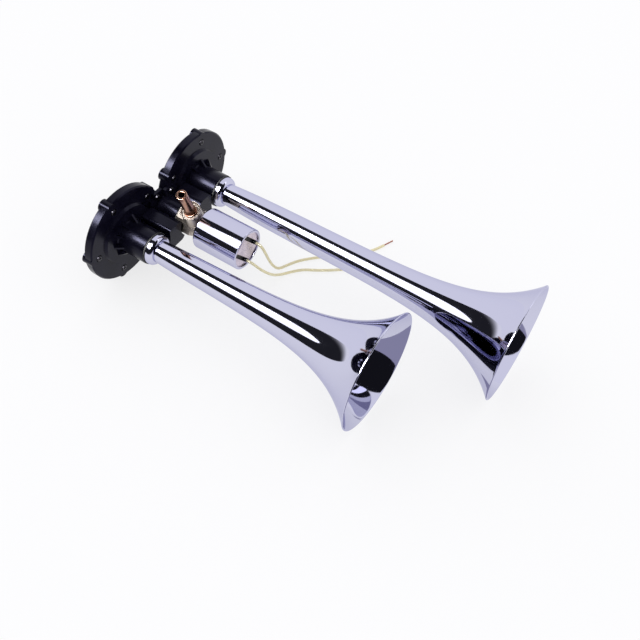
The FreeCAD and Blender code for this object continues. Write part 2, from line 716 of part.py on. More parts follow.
def bracket_inserts(label):
    """Brass inserts in the arms' feet, tapped for the bracket's bolts."""
    pieces = []
    for sign in (-1, 1):
        foot = V(0, (S.insert_gap / 2 * sign).number, 0)
        outside = Part.makeCylinder(
            S.insert_radius.number, S.insert_depth.number, foot, V(0, 0, 1))
        core = Part.makeCylinder(
            S.insert_bore.number, S.insert_depth.number, foot, V(0, 0, 1))
        pieces.append(outside.cut(core))
    return feature(label, Part.makeCompound(pieces))


o_rings("inlet_o_rings")
manifold_screws("manifold_screws")
bracket_inserts("bracket_inserts")


# Air valve

def valve_body():
    """Hexagon with a threaded spigot, a round neck and a slanting boss for the nipple."""
    across = S.valve_hex / 2
    corner = hex_corner
    hexagon = bind(doc.addObject("Part::Prism", "hexagon"),
                   Circumradius=corner, Height=S.valve_hex_length)
    hexagon.Polygon = 6
    # One flat faces along the nipple's axis.
    flat = FreeCAD.Rotation(V(1, 0, 0), S.nipple_tilt.number)
    flat = flat.multiply(FreeCAD.Rotation(V(0, 1, 0), 90))
    hexagon.Placement = FreeCAD.Placement(
        V(valve_x.number, 0, S.axis_height.number),
        flat.multiply(FreeCAD.Rotation(V(0, 0, 1), 30)))
    hexagon.setExpression("Placement.Base.x", valve_x.text)
    hexagon.setExpression("Placement.Base.z", S.axis_height.text)
    envelope = new_body("hexagon_chamfer")
    bevel = corner - across
    revolve(envelope, [
        (NOTHING, NOTHING), (NOTHING, across), (bevel * 0.7, corner),
        (S.valve_hex_length - bevel * 0.7, corner), (S.valve_hex_length, across),
        (S.valve_hex_length, NOTHING)])
    place(envelope, valve_x, NOTHING, S.axis_height)
    nut = doc.addObject("Part::Common", "chamfered_hexagon")
    nut.Base = hexagon
    nut.Tool = envelope
    neck = cylinder_x("valve_neck", S.valve_neck, valve_x + 1, S.valve_length - 1,
                      NOTHING, S.axis_height)
    spigot = cylinder_x("valve_spigot", S.valve_thread, valve_x - S.valve_reach,
                        S.valve_reach + 1, NOTHING, S.axis_height)
    nipple_x = valve_x + S.nipple_place
    boss = bind(doc.addObject("Part::Cylinder", "nipple_boss"),
                Radius=S.nipple_boss, Height=S.nipple_seat)
    place(boss, nipple_x, NOTHING, S.axis_height, degrees=S.nipple_tilt)
    inside = new_body("valve_inside")
    start = -(S.valve_reach + 1)
    revolve(inside, [
        (start, NOTHING), (start, S.valve_bore), (S.valve_seat, S.valve_bore),
        (S.valve_seat, S.valve_lip), (S.valve_floor, S.valve_lip),
        (S.valve_floor, S.valve_chamber), (S.valve_length + 1, S.valve_chamber),
        (S.valve_length + 1, NOTHING)])
    place(inside, valve_x, NOTHING, S.axis_height)
    seat = new_body("nipple_seat_hole")
    revolve(seat, [
        (S.valve_bore, NOTHING), (S.valve_bore, S.nipple_bore),
        (S.nipple_seat - S.nipple_sink, S.nipple_bore),
        (S.nipple_seat - S.nipple_sink, S.nipple_foot),
        (S.nipple_seat - S.nipple_recess, S.nipple_foot),
        (S.nipple_seat - S.nipple_recess, S.nipple_boss - S.nipple_lip),
        (S.nipple_seat - S.nipple_edge, S.nipple_boss - S.nipple_lip),
        (S.nipple_seat + S.nipple_edge, S.nipple_boss - S.nipple_lip + S.nipple_edge * 2),
        (S.nipple_seat + S.nipple_edge, NOTHING)],
        axis="Z")
    place(seat, nipple_x, NOTHING, S.axis_height, degrees=S.nipple_tilt)
    return keep(trimmed("valve_body", joined("valve_solid", [nut, neck, spigot, boss]),
                        [inside, seat]))


def inlet_nipple():
    """Tapering hose nipple with a plain end."""
    body = new_body("inlet_nipple")
    foot = S.nipple_seat - S.nipple_sink
    plain = S.nipple_reach - S.nipple_plain
    edge = S.nipple_edge
    step = S.nipple_seat - edge
    revolve(body, [
        (foot, S.nipple_bore), (foot, S.nipple_foot),
        (step - edge, S.nipple_foot), (step, S.nipple_foot - edge), (step, S.nipple_neck),
        (plain, S.nipple_tip),
        (S.nipple_reach - edge, S.nipple_tip), (S.nipple_reach, S.nipple_tip - edge),
        (S.nipple_reach, S.nipple_bore + edge), (S.nipple_reach - edge, S.nipple_bore)],
        axis="Z")
    return keep(place(body, valve_x + S.nipple_place, NOTHING, S.axis_height,
                      degrees=S.nipple_tilt))


valve_body()
inlet_nipple()
keep(ring_x("valve_washer", S.valve_thread + S.disc_slack, S.valve_hex / 2 - S.disc_slack,
            boss_x, S.washer_depth, NOTHING, S.axis_height))


# Solenoid

can_x = valve_x + S.valve_length
can_end = can_x + S.can_length
plate_x = can_end - S.can_roll - S.end_depth
tube_radius = S.tube_outer - S.tube_wall
plunger_radius = tube_radius - S.plunger_slack
plunger_x = valve_x + S.valve_seat
core_x = plunger_x + S.plunger_length + S.plunger_travel + S.fit_gap


def solenoid_can():
    """Drawn cup, open at the front, its edge rolled over the end plate."""
    body = new_body("solenoid_can")
    outer = S.can_radius
    hole = S.tube_outer + S.fit_gap
    inner = outer - S.can_wall
    revolve(body, [
        (NOTHING, hole), (NOTHING, outer - S.can_corner),
        (S.can_corner * 0.3, outer - S.can_corner * 0.3), (S.can_corner, outer),
        (S.can_length - S.can_edge, outer),
        (S.can_length - S.can_edge * 0.3, outer - S.can_edge * 0.3),
        (S.can_length, outer - S.can_edge), (S.can_length, S.can_lip),
        (S.can_length - S.can_roll, S.can_lip), (S.can_length - S.can_roll, inner),
        (S.can_wall, inner), (S.can_wall, hole)])
    return keep(place(body, can_x, NOTHING, S.axis_height))


def end_plate():
    """Round steel plate with a raised band across it and a lead slot on each side."""
    body = new_body("end_plate")
    disc = new_sketch(body, "YZ_Plane")
    circle(disc, NOTHING, NOTHING, S.can_radius - S.can_wall - S.fit_gap / 2)
    pad(body, disc, S.end_depth)
    band = new_sketch(body, "YZ_Plane")
    half = S.slot_offset - S.slot_radius
    reach = S.can_lip - S.fit_gap * 9
    closed_outline(band, [(-reach, -half), (reach, -half), (reach, half), (-reach, half)])
    pad(body, band, S.end_depth + S.band_rise)
    slots = new_sketch(body, "YZ_Plane", S.end_depth + S.band_rise)
    straight = S.slot_half - S.slot_radius
    for side in (1, -1):
        low = S.slot_offset * side - S.slot_radius
        high = S.slot_offset * side + S.slot_radius
        closed_outline(slots, [(-straight, low), (straight, low),
                               (straight, high), (-straight, high)])
    pocket(body, slots, S.end_depth + S.band_rise)
    for end in (1, -1):
        rounds = new_sketch(body, "YZ_Plane", S.end_depth + S.band_rise)
        for side in (1, -1):
            circle(rounds, straight * end, S.slot_offset * side, S.slot_radius)
        pocket(body, rounds, S.end_depth + S.band_rise)
    return keep(place(body, plate_x, NOTHING, S.axis_height, degrees=S.slot_turn))


def coil_bobbin():
    body = new_body("coil_bobbin")
    length = plate_x - can_x - S.can_wall - S.bobbin_gap * 2
    bore = S.tube_outer + S.thread_slack
    revolve(body, [
        (NOTHING, bore), (NOTHING, S.bobbin_radius), (S.bobbin_flange, S.bobbin_radius),
        (S.bobbin_flange, S.bobbin_tube), (length - S.bobbin_flange, S.bobbin_tube),
        (length - S.bobbin_flange, S.bobbin_radius), (length, S.bobbin_radius),
        (length, bore)])
    return keep(place(body, can_x + S.can_wall + S.bobbin_gap, NOTHING, S.axis_height))


def guide_tube():
    """Brass tube from the valve's chamber into the coil, with a flange to seat on."""
    body = new_body("guide_tube")
    flange = S.valve_chamber - S.fit_gap / 2
    start = S.valve_length - S.can_wall * 3
    revolve(body, [
        (start, tube_radius), (start, flange), (start + S.tube_wall * 2, flange),
        (start + S.tube_wall * 2, S.tube_outer), (start + S.tube_length, S.tube_outer),
        (start + S.tube_length, tube_radius)])
    return keep(place(body, valve_x, NOTHING, S.axis_height))


def plunger():
    """Steel plunger with a seat disc's recess in its nose and a spring pocket behind."""
    body = new_body("plunger")
    revolve(body, [
        (NOTHING, S.seat_disc), (NOTHING, plunger_radius), (S.plunger_length, plunger_radius),
        (S.plunger_length, S.pocket_radius),
        (S.plunger_length - S.pocket_depth, S.pocket_radius),
        (S.plunger_length - S.pocket_depth, NOTHING), (S.seat_disc_depth, NOTHING),
        (S.seat_disc_depth, S.seat_disc)])
    return keep(place(body, plunger_x, NOTHING, S.axis_height))


def fixed_core():
    """Pole piece behind the plunger, its foot riveted in the end plate."""
    body = new_body("fixed_core")
    radius = tube_radius - S.thread_slack / 2
    length = plate_x - core_x
    revolve(body, [
        (NOTHING, NOTHING), (NOTHING, radius), (length, radius), (length, NOTHING)])
    return keep(place(body, core_x, NOTHING, S.axis_height))


def return_spring():
    """Open helix between the plunger's pocket and the fixed core."""
    start = plunger_x + S.plunger_length - S.pocket_depth + S.spring_wire
    length = (core_x - S.spring_wire - start).number
    helix = Part.makeHelix(length / S.spring_turns.number, length, S.spring_radius.number)
    wire_end = Part.Wire(Part.makeCircle(
        S.spring_wire.number, V(S.spring_radius.number, 0, 0), V(0, 1, 0)))
    coil = Part.Wire(helix.Edges).makePipeShell([wire_end], True, True)
    return feature("return_spring", coil, start, NOTHING, S.axis_height, V(0, 1, 0), 90)


solenoid_can()
end_plate()
coil_bobbin()
keep(ring_x("coil_winding", S.bobbin_tube, S.coil_radius,
            can_x + S.can_wall + S.bobbin_gap + S.bobbin_flange,
            plate_x - can_x - S.can_wall - S.bobbin_gap * 2 - S.bobbin_flange * 2,
            NOTHING, S.axis_height))
guide_tube()
plunger()
keep(cylinder_x("plunger_seat_disc", S.seat_disc, plunger_x, S.seat_disc_depth,
                NOTHING, S.axis_height))
fixed_core()
return_spring()


# Leads

turn = math.radians(S.slot_turn.number)


def lead_mouth(side):
    """Middle of a lead where it leaves its slot in the end plate."""
    along = S.lead_exit.number
    across = S.slot_offset.number * side
    return V(plate_x.number + (S.end_depth + S.grommet_reach).number,
             along * math.cos(turn) - across * math.sin(turn),
             S.axis_height.number + along * math.sin(turn) + across * math.cos(turn))


def grommets(label):
    """Rubber sleeve round each lead where it comes through the end plate."""
    pieces = []
    length = S.end_depth.number + S.grommet_reach.number
    inner = S.lead_radius.number
    outer = inner + S.grommet_wall.number
    for side in (1, -1):
        start = lead_mouth(side) - V(length, 0, 0)
        sleeve = Part.makeCylinder(outer, length, start, V(1, 0, 0))
        pieces.append(sleeve.cut(Part.makeCylinder(inner, length, start, V(1, 0, 0))))
    return feature(label, Part.makeCompound(pieces))


def cord_path(points):
    """Straight runs joined by tangent arcs as large as the runs allow."""
    edges = []
    radii = []
    here = points[0]
    for at in range(1, len(points) - 1):
        before = points[at] - points[at - 1]
        after = points[at + 1] - points[at]
        shorter = min(before.Length, after.Length)
        before.normalize()
        after.normalize()
        turned = before.getAngle(after)
        reach = 0.45 * shorter
        radius = reach / math.tan(turned / 2)
        radii.append(radius)
        one = points[at] - before * reach
        two = points[at] + after * reach
        inward = (after - before).normalize()
        depth = radius / math.cos(turned / 2) - radius
        edges.append(Part.LineSegment(here, one).toShape())
        edges.append(Part.Arc(one, points[at] + inward * depth, two).toShape())
        here = two
    edges.append(Part.LineSegment(here, points[-1]).toShape())
    return Part.Wire(edges), radii


def lead(number, side, route):
    """Insulated lead from its slot down to the ground and under the long trumpet."""
    mouth = lead_mouth(side)
    inside = mouth - V(S.end_depth.number + S.grommet_reach.number, 0, 0)
    outside = mouth + V(S.lead_out.number, 0, 0)
    points = [inside, outside] + [V(*point) for point in route]
    path, radii = cord_path(points)
    section = Part.Wire(Part.makeCircle(S.lead_radius.number, points[0], points[1] - points[0]))
    tube = path.makePipeShell([section], True, False)
    expected = math.pi * S.lead_radius.number ** 2 * path.Length
    print("lead_%d: %.1f mm long, radii %s, volume %.4f of the expected" % (
        number, path.Length, " ".join("%.1f" % radius for radius in radii),
        tube.Volume / expected))
    feature("lead_%d" % number, tube)
    last = points[-1] - points[-2]
    feature("lead_%d_strands" % number, Part.makeCylinder(
        S.strand_radius.number, S.strand_length.number, points[-1], last))


# Points chosen by hand: out of the end plate, down to the ground, then along it.
LEAD_1 = (
    (87.9, 12.9, 10.3), (88.5, 18.6, -5.6), (89.0, 25.0, -19.5), (90.6, 31.9, -28.8),
    (93.6, 41.4, -30.2), (98.6, 51.8, -30.4), (107.0, 62.4, -30.7), (118.6, 74.6, -31.1),
    (134.6, 90.9, -31.7), (147.0, 103.4, -32.1), (152.4, 113.6, -32.3), (154.6, 119.6, -32.4),
)
LEAD_2 = (
    (91.4, 4.0, -5.0), (95.0, 14.6, -18.4), (96.0, 26.8, -28.8),
    (101.4, 37.0, -30.4), (109.0, 46.2, -30.6), (121.0, 54.0, -31.1), (133.4, 64.0, -31.6),
    (145.6, 75.6, -32.0), (160.0, 83.6, -32.5), (176.0, 88.0, -33.0),
)
grommets("lead_grommets")
lead(1, 1, LEAD_1)
lead(2, -1, LEAD_2)


# Checks and export

doc.recompute()
for thing in doc.Objects:
    if "Invalid" in thing.State or "Error" in thing.State:
        raise RuntimeError("%s failed: %s" % (thing.Label, thing.State))
os.makedirs("parts", exist_ok=True)
for node in nodes:
    if node.Shape.isNull() or not node.Shape.isValid():
        raise RuntimeError("%s has no valid shape" % node.Label)
    if not node.Shape.Solids:
        raise RuntimeError("%s has no solid" % node.Label)
for node in nodes:
    node.Shape.exportStep("parts/%s.step" % node.Label)
    print("%-24s %d solid(s) %10.1f mm3" % (
        node.Label, len(node.Shape.Solids), node.Shape.Volume))
print(len(nodes), "pieces")
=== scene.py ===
# %% [markdown]
# # A truck horn in Blender
# The horn has two chromed trumpets of different length. Each starts at a round black
# sound unit. A black manifold joins the two units and carries an electric air valve: a
# hexagon body, a coppery hose nipple and a plated can, with two bare-ended leads.
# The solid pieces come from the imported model. This file gives them their finish, makes
# the trumpets again as smooth shells, and adds screw heads, leads and bare strands.

# %% Load the solid model
import math

import bmesh
import bpy
from mathutils import Matrix, Quaternion, Vector


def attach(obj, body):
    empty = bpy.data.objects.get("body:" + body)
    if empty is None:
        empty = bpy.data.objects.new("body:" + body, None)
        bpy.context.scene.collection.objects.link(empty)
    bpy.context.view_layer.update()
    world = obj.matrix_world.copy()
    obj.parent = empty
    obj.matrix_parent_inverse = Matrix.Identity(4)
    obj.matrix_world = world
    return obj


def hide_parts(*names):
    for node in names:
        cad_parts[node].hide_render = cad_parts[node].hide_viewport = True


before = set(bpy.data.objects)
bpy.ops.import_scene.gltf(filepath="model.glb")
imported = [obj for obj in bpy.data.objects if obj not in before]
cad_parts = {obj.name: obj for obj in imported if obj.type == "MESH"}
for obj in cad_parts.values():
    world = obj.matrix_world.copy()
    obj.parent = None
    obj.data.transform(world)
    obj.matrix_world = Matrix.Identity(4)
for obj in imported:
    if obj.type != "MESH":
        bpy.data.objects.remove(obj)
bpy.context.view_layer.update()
BODY = "horn"
MM = 0.001
print("pieces in the solid model:", len(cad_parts))


# %% [markdown]
# ## The camera
# The photograph looks down on the horn from the short trumpet's side. A camera is best
# set by where it stands, what it looks at, its lens and a small roll, because each of
# these can be read and changed by itself.

# %% Camera
EYE = Vector((389.6, -413.4, 582.4)) * MM
TARGET = Vector((163.4, -10.4, -8.4)) * MM
LENS_MM = 48.49
SENSOR_MM = 36.0
ROLL = math.radians(4.87)

camera_data = bpy.data.cameras.new("camera")
camera_data.lens = LENS_MM
camera_data.sensor_width = SENSOR_MM
camera_data.clip_start = 0.01
camera = bpy.data.objects.new("camera", camera_data)
bpy.context.collection.objects.link(camera)
camera.location = EYE
camera.rotation_mode = "QUATERNION"
level = (TARGET - EYE).to_track_quat("-Z", "Y")
camera.rotation_quaternion = level @ Quaternion((0, 0, 1), ROLL)
bpy.context.scene.camera = camera
print("camera stands %.0f mm from its target" % ((TARGET - EYE).length / MM))


# %% [markdown]
# ## Colours and shader nodes
# Colours are easiest to read as the hex values of a colour picker. Shaders work with
# linear light, so one function turns one into the other. A second small function adds
# a node with its settings and links, which keeps each material short.

# %% Helpers for materials
def colour(hex_value, alpha=1.0):
    """A hex colour as linear light."""
    channels = [int(hex_value[at:at + 2], 16) / 255 for at in (1, 3, 5)]
    linear = [c / 12.92 if c <= 0.04045 else ((c + 0.055) / 1.055) ** 2.4 for c in channels]
    return (*linear, alpha)


def add(tree, kind, settings=None, **sockets):
    """Adds a node. A socket's value may be a number, a colour or another socket."""
    node = tree.nodes.new(kind)
    for name, value in (settings or {}).items():
        setattr(node, name, value)
    for name, value in sockets.items():
        key = name.replace("_", " ")
        at = int(key[1:]) if key[0] == "n" and key[1:].isdigit() else key
        if isinstance(value, bpy.types.NodeSocket):
            tree.links.new(value, node.inputs[at])
        else:
            node.inputs[at].default_value = value
    return node


def ramp(tree, factor, stops):
    """A colour ramp from (position, colour) stops."""
    node = add(tree, "ShaderNodeValToRGB", Fac=factor)
    elements = node.color_ramp.elements
    for at, (position, value) in enumerate(stops):
        element = elements[at] if at < 2 else elements.new(position)
        element.position = position
        element.color = value
    return node.outputs["Color"]


def new_material(name):
    """An empty material, its node tree and object coordinates in millimetres."""
    material = bpy.data.materials.new(name)
    material.use_nodes = True
    tree = material.node_tree
    tree.nodes.clear()
    place = add(tree, "ShaderNodeTexCoord").outputs["Object"]
    scaled = add(tree, "ShaderNodeVectorMath", {"operation": "SCALE"}, Vector=place,
                 Scale=1 / MM).outputs["Vector"]
    return material, tree, scaled


def finish_material(tree, **sockets):
    """Adds the surface shader and the output."""
    shader = add(tree, "ShaderNodeBsdfPrincipled", **sockets)
    add(tree, "ShaderNodeOutputMaterial", Surface=shader.outputs["BSDF"])


# %% [markdown]
# ## The finishes
# Each finish is named for the real material and how its surface was made. Patterns take
# their size from real millimetres, through object coordinates.

# %% Bright chrome plate
def chrome_plate():
    """Polished plated metal, a near mirror with faint buffing waves and no grain. Lilac tint:
    painted reflection.
    """
    material, tree, place = new_material("chrome_plate_polished")
    waves = add(tree, "ShaderNodeTexNoise", Vector=place, Scale=0.05, Detail=2.0)
    smudges = add(tree, "ShaderNodeTexNoise", Vector=place, Scale=0.12, Detail=6.0,
                  Roughness=0.6)
    roughness = add(tree, "ShaderNodeMapRange", Value=smudges.outputs["Fac"],
                    From_Min=0.35, From_Max=0.75, To_Min=0.03, To_Max=0.075)
    bump = add(tree, "ShaderNodeBump", Height=waves.outputs["Fac"], Strength=0.06,
               Distance=0.0004)
    # The lilac base colour and specular tint are painted reflection: they stand for a lilac room
    # round the chrome.
    finish_material(tree, Base_Color=colour("#CACADF"), Metallic=1.0,
                    Specular_Tint=colour("#DCDCEA"),
                    Roughness=roughness.outputs["Result"], Normal=bump.outputs["Normal"])
    return material


# %% Black moulded plastic
def black_moulding():
    """Glass-filled nylon from a polished tool: near black, satin, with a painted blue-violet
    sheen.
    """
    material, tree, place = new_material("black_nylon_moulded")
    grain = add(tree, "ShaderNodeTexNoise", Vector=place, Scale=1.6, Detail=3.0)
    flow = add(tree, "ShaderNodeTexNoise", Vector=place, Scale=0.06, Detail=4.0)
    roughness = add(tree, "ShaderNodeMapRange", Value=flow.outputs["Fac"],
                    From_Min=0.3, From_Max=0.7, To_Min=0.16, To_Max=0.24)
    # The blue-violet of both stops is painted reflection of lilac light. Which stop shows varies
    # at random.
    tint = ramp(tree, flow.outputs["Fac"], ((0.35, colour("#080712")), (0.7, colour("#11101D"))))
    bump = add(tree, "ShaderNodeBump", Height=grain.outputs["Fac"], Strength=0.12,
               Distance=0.0001)
    # The lilac specular tint is painted reflection of lilac light as well.
    finish_material(tree, Base_Color=tint, Roughness=roughness.outputs["Result"],
                    IOR=1.5, Specular_IOR_Level=0.19, Specular_Tint=colour("#C8C8EE"),
                    Normal=bump.outputs["Normal"])
    return material


# %% Zinc plated steel and castings
def zinc_plate(name, light, dark, low, high):
    """Bright zinc: a soft metal shine, cloudy where the plating has dulled."""
    material, tree, place = new_material(name)
    clouds = add(tree, "ShaderNodeTexNoise", Vector=place, Scale=0.09, Detail=5.0,
                 Roughness=0.5)
    tint = ramp(tree, clouds.outputs["Fac"], ((0.3, colour(dark)), (0.7, colour(light))))
    roughness = add(tree, "ShaderNodeMapRange", Value=clouds.outputs["Fac"],
                    From_Min=0.3, From_Max=0.7, To_Min=high, To_Max=low)
    grain = add(tree, "ShaderNodeTexNoise", Vector=place, Scale=1.2, Detail=2.0)
    bump = add(tree, "ShaderNodeBump", Height=grain.outputs["Fac"], Strength=0.12,
               Distance=0.0001)
    finish_material(tree, Base_Color=tint, Metallic=1.0,
                    Roughness=roughness.outputs["Result"], Normal=bump.outputs["Normal"])
    return material


# %% Turned brass
def turned_brass():
    """Free-cutting brass, coppery from heat, with fine rings from the lathe tool."""
    material, tree, place = new_material("brass_turned_coppery")
    tarnish = add(tree, "ShaderNodeTexNoise", Vector=place, Scale=0.12, Detail=3.0)
    tint = ramp(tree, tarnish.outputs["Fac"],
                ((0.3, colour("#A67763")), (0.7, colour("#C39D8A"))))
    rings = add(tree, "ShaderNodeTexWave", {"bands_direction": "Z"}, Vector=place,
                Scale=1.6, Distortion=0.0)
    bump = add(tree, "ShaderNodeBump", Height=rings.outputs["Fac"], Strength=0.1,
               Distance=0.00005)
    finish_material(tree, Base_Color=tint, Metallic=1.0, Roughness=0.2,
                    Normal=bump.outputs["Normal"])
    return material


# %% Bare copper, steel, rubber and plastics
def plain_metal(name, light, dark, roughness):
    """Drawn or ground metal with a slight change of tone."""
    material, tree, place = new_material(name)
    tone = add(tree, "ShaderNodeTexNoise", Vector=place, Scale=0.8, Detail=3.0)
    tint = ramp(tree, tone.outputs["Fac"], ((0.3, colour(dark)), (0.7, colour(light))))
    finish_material(tree, Base_Color=tint, Metallic=1.0, Roughness=roughness)
    return material


def soft_plastic(name, light, dark, roughness, grain_mm):
    """Rubber or extruded plastic: no metal shine, a fine grain and a change of tone."""
    material, tree, place = new_material(name)
    tone = add(tree, "ShaderNodeTexNoise", Vector=place, Scale=0.15, Detail=4.0)
    grain = add(tree, "ShaderNodeTexNoise", Vector=place, Scale=1 / grain_mm, Detail=2.0)
    tint = ramp(tree, tone.outputs["Fac"], ((0.3, colour(dark)), (0.7, colour(light))))
    bump = add(tree, "ShaderNodeBump", Height=grain.outputs["Fac"], Strength=0.15,
               Distance=0.0001)
    finish_material(tree, Base_Color=tint, Roughness=roughness,
                    Normal=bump.outputs["Normal"])
    return material


CHROME = chrome_plate()
MOULDING = black_moulding()
ZINC = zinc_plate("zinc_plated_steel", "#DED2E0", "#BBB0C2", 0.22, 0.32)
CASTING = zinc_plate("zinc_plated_valve_body", "#C6BDB4", "#A99E95", 0.3, 0.42)
DARK_STEEL = plain_metal("steel_black_oxide", "#55535A", "#2B2A2F", 0.3)
STEEL = plain_metal("steel_ground", "#B8B8BA", "#8E8E92", 0.25)
BRASS = turned_brass()
COPPER = plain_metal("copper_bare_strands", "#D89A86", "#9C5A4C", 0.32)
RUBBER = soft_plastic("rubber_moulded", "#1B1B1D", "#0F0F10", 0.6, 0.4)
BOBBIN = soft_plastic("nylon_bobbin", "#26262A", "#1A1A1D", 0.5, 0.6)
SLEEVE = soft_plastic("pvc_lead_insulation", "#FBF2C6", "#F2E7B6", 0.36, 0.5)
print("finishes:", len(bpy.data.materials))


# %% [markdown]
# ## The leads
# Two thin PVC leads leave the front of the can, drop to the ground and pass under the
# long trumpet. They are limp, so they lie in loose curves. A NURBS curve with few
# control points gives such a line, because it stays smooth where straight runs joined
# by arcs would look like bent wire.

# %% Lead routes
# Each route is the lead's hole in the end plate, as (y, z), and then its control points.
LEAD_RADIUS = 1.3 * MM
LEAD_MOUTH_X = 79.4
ROUTES = {
    "lead_1": ((13.24, 15.46), (
        (87.9, 12.9, 10.3), (88.5, 18.6, -5.6), (89.0, 25.0, -19.5), (90.6, 31.9, -28.8),
        (93.6, 41.4, -30.2), (98.6, 51.8, -30.4), (107.0, 62.4, -30.7), (118.6, 74.6, -31.1),
        (134.6, 90.9, -31.7), (147.0, 103.4, -32.1), (152.4, 113.6, -32.3),
        (154.6, 119.6, -32.4))),
    "lead_2": ((-0.54, 4.54), (
        (91.4, 4.0, -5.0), (95.0, 14.6, -18.4), (96.0, 26.8, -28.8),
        (101.4, 37.0, -30.4), (109.0, 46.2, -30.6), (121.0, 54.0, -31.1),
        (133.4, 64.0, -31.6), (145.6, 75.6, -32.0), (160.0, 83.6, -32.5),
        (176.0, 88.0, -33.0))),
}
SLOT_DEPTH = 3.2
STRAIGHT_OUT = 3.6


def route_curve(name, points, radius):
    """A NURBS curve through control points in metres, with a round section."""
    data = bpy.data.curves.new(name, "CURVE")
    data.dimensions = "3D"
    spline = data.splines.new("NURBS")
    spline.points.add(len(points) - 1)
    for point, place in zip(spline.points, points):
        point.co = (*place, 1)
    spline.order_u = 3
    spline.use_endpoint_u = True
    spline.resolution_u = 12
    data.bevel_depth = radius
    data.bevel_resolution = 5
    data.use_fill_caps = True
    made = bpy.data.objects.new(name, data)
    bpy.context.collection.objects.link(made)
    return made


def centre_line(curve):
    """Points along a curve's own line."""
    bare = curve.copy()
    bare.data = curve.data.copy()
    bare.data.bevel_depth = 0
    bpy.context.collection.objects.link(bare)
    bpy.context.view_layer.update()
    mesh = bpy.data.meshes.new_from_object(
        bare.evaluated_get(bpy.context.evaluated_depsgraph_get()))
    line = [vertex.co.copy() for vertex in mesh.vertices]
    bpy.data.objects.remove(bare)
    return line


# %% [markdown]
# The stripped ends show seven thin copper wires in a loose twist. A short loop winds
# them round the last stretch of the lead and lets them spread a little at the tip.

# %% Bare strands
STRANDS = 7
STRAND_RADIUS = 0.24 * MM
STRAND_RING = 0.46 * MM
STRAND_LENGTH = 11.5 * MM
STRAND_TUCK = 1.0 * MM
STRAND_STEPS = 14
STRAND_TURNS = 0.8
STRAND_SPREAD = 0.35
STRAND_PHASE = 2.4
STRAND_SHORTER = 0.05


def bare_strands(name, end, direction):
    """Seven wires twisted round the lead's last direction."""
    across = direction.cross(Vector((0, 0, 1))).normalized()
    up = across.cross(direction)
    data = bpy.data.curves.new(name, "CURVE")
    data.dimensions = "3D"
    data.bevel_depth = STRAND_RADIUS
    data.bevel_resolution = 2
    data.use_fill_caps = True
    for strand in range(STRANDS):
        spline = data.splines.new("POLY")
        spline.points.add(STRAND_STEPS)
        ring = 0 if strand == 0 else STRAND_RING
        bend = STRAND_SPREAD * math.sin(strand * STRAND_PHASE)
        length = STRAND_LENGTH * (1 - STRAND_SHORTER * (strand % 3)) + STRAND_TUCK
        for at in range(STRAND_STEPS + 1):
            part = at / STRAND_STEPS
            angle = 2 * math.pi * (strand / (STRANDS - 1) + STRAND_TURNS * part)
            spread = ring * (1 + bend * part ** 2)
            place = (end + direction * (length * part - STRAND_TUCK)
                     + across * spread * math.cos(angle) + up * spread * math.sin(angle))
            spline.points[at].co = (*place, 1)
    made = bpy.data.objects.new(name, data)
    bpy.context.collection.objects.link(made)
    return made


for lead_name, (mouth, rest) in ROUTES.items():
    inside = (LEAD_MOUTH_X - SLOT_DEPTH, *mouth)
    outside = (LEAD_MOUTH_X + STRAIGHT_OUT, *mouth)
    points = [Vector(point) * MM for point in (inside, outside) + rest]
    lead = route_curve(lead_name + "_insulation", points, LEAD_RADIUS)
    lead.data.materials.append(SLEEVE)
    line = centre_line(lead)
    end_direction = (points[-1] - points[-2]).normalized()
    strands = bare_strands(lead_name + "_bare_end", points[-1], end_direction)
    strands.data.materials.append(COPPER)
    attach(lead, BODY)
    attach(strands, BODY)
    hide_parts(lead_name)
    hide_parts(lead_name + "_strands")


# %% [markdown]
# ## Geometry Nodes helpers
# Turned pieces are a profile swept round an axis. In Geometry Nodes a circle serves as
# the path and the outline as the profile. A modifier's inputs are set by identifier,
# and the result is kept as a plain mesh.

# %% Node tree helpers
def new_tree(name, inputs):
    """A geometry node tree with named inputs. Returns the tree and its inputs by name."""
    tree = bpy.data.node_groups.new(name, "GeometryNodeTree")
    tree.interface.new_socket("Geometry", in_out="INPUT", socket_type="NodeSocketGeometry")
    for label, kind in inputs:
        tree.interface.new_socket(label, in_out="INPUT", socket_type=kind)
    tree.interface.new_socket("Geometry", in_out="OUTPUT", socket_type="NodeSocketGeometry")
    given = tree.nodes.new("NodeGroupInput").outputs
    return tree, {socket.name: socket for socket in given if socket.name}


def end_tree(tree, geometry, material):
    """Realizes instances, sets the material and closes the tree."""
    real = add(tree, "GeometryNodeRealizeInstances", Geometry=geometry)
    done = add(tree, "GeometryNodeSetMaterial", Geometry=real.outputs["Geometry"],
               Material=material)
    add(tree, "NodeGroupOutput", Geometry=done.outputs["Geometry"])


def calc(tree, operation, first, second=0.0):
    """One sum in the tree. Either side may be a number or a socket."""
    return add(tree, "ShaderNodeMath", {"operation": operation}, n0=first,
               n1=second).outputs[0]


def facing_out(mesh):
    """Turns the faces of a closed shell outwards and says how much metal it holds."""
    shell = bmesh.new()
    shell.from_mesh(mesh)
    bmesh.ops.recalc_face_normals(shell, faces=shell.faces)
    volume = shell.calc_volume(signed=True)
    if volume < 0:
        bmesh.ops.reverse_faces(shell, faces=shell.faces)
    open_edges = sum(1 for edge in shell.edges if len(edge.link_faces) != 2)
    shell.to_mesh(mesh)
    shell.free()
    return abs(volume) / MM ** 3, open_edges


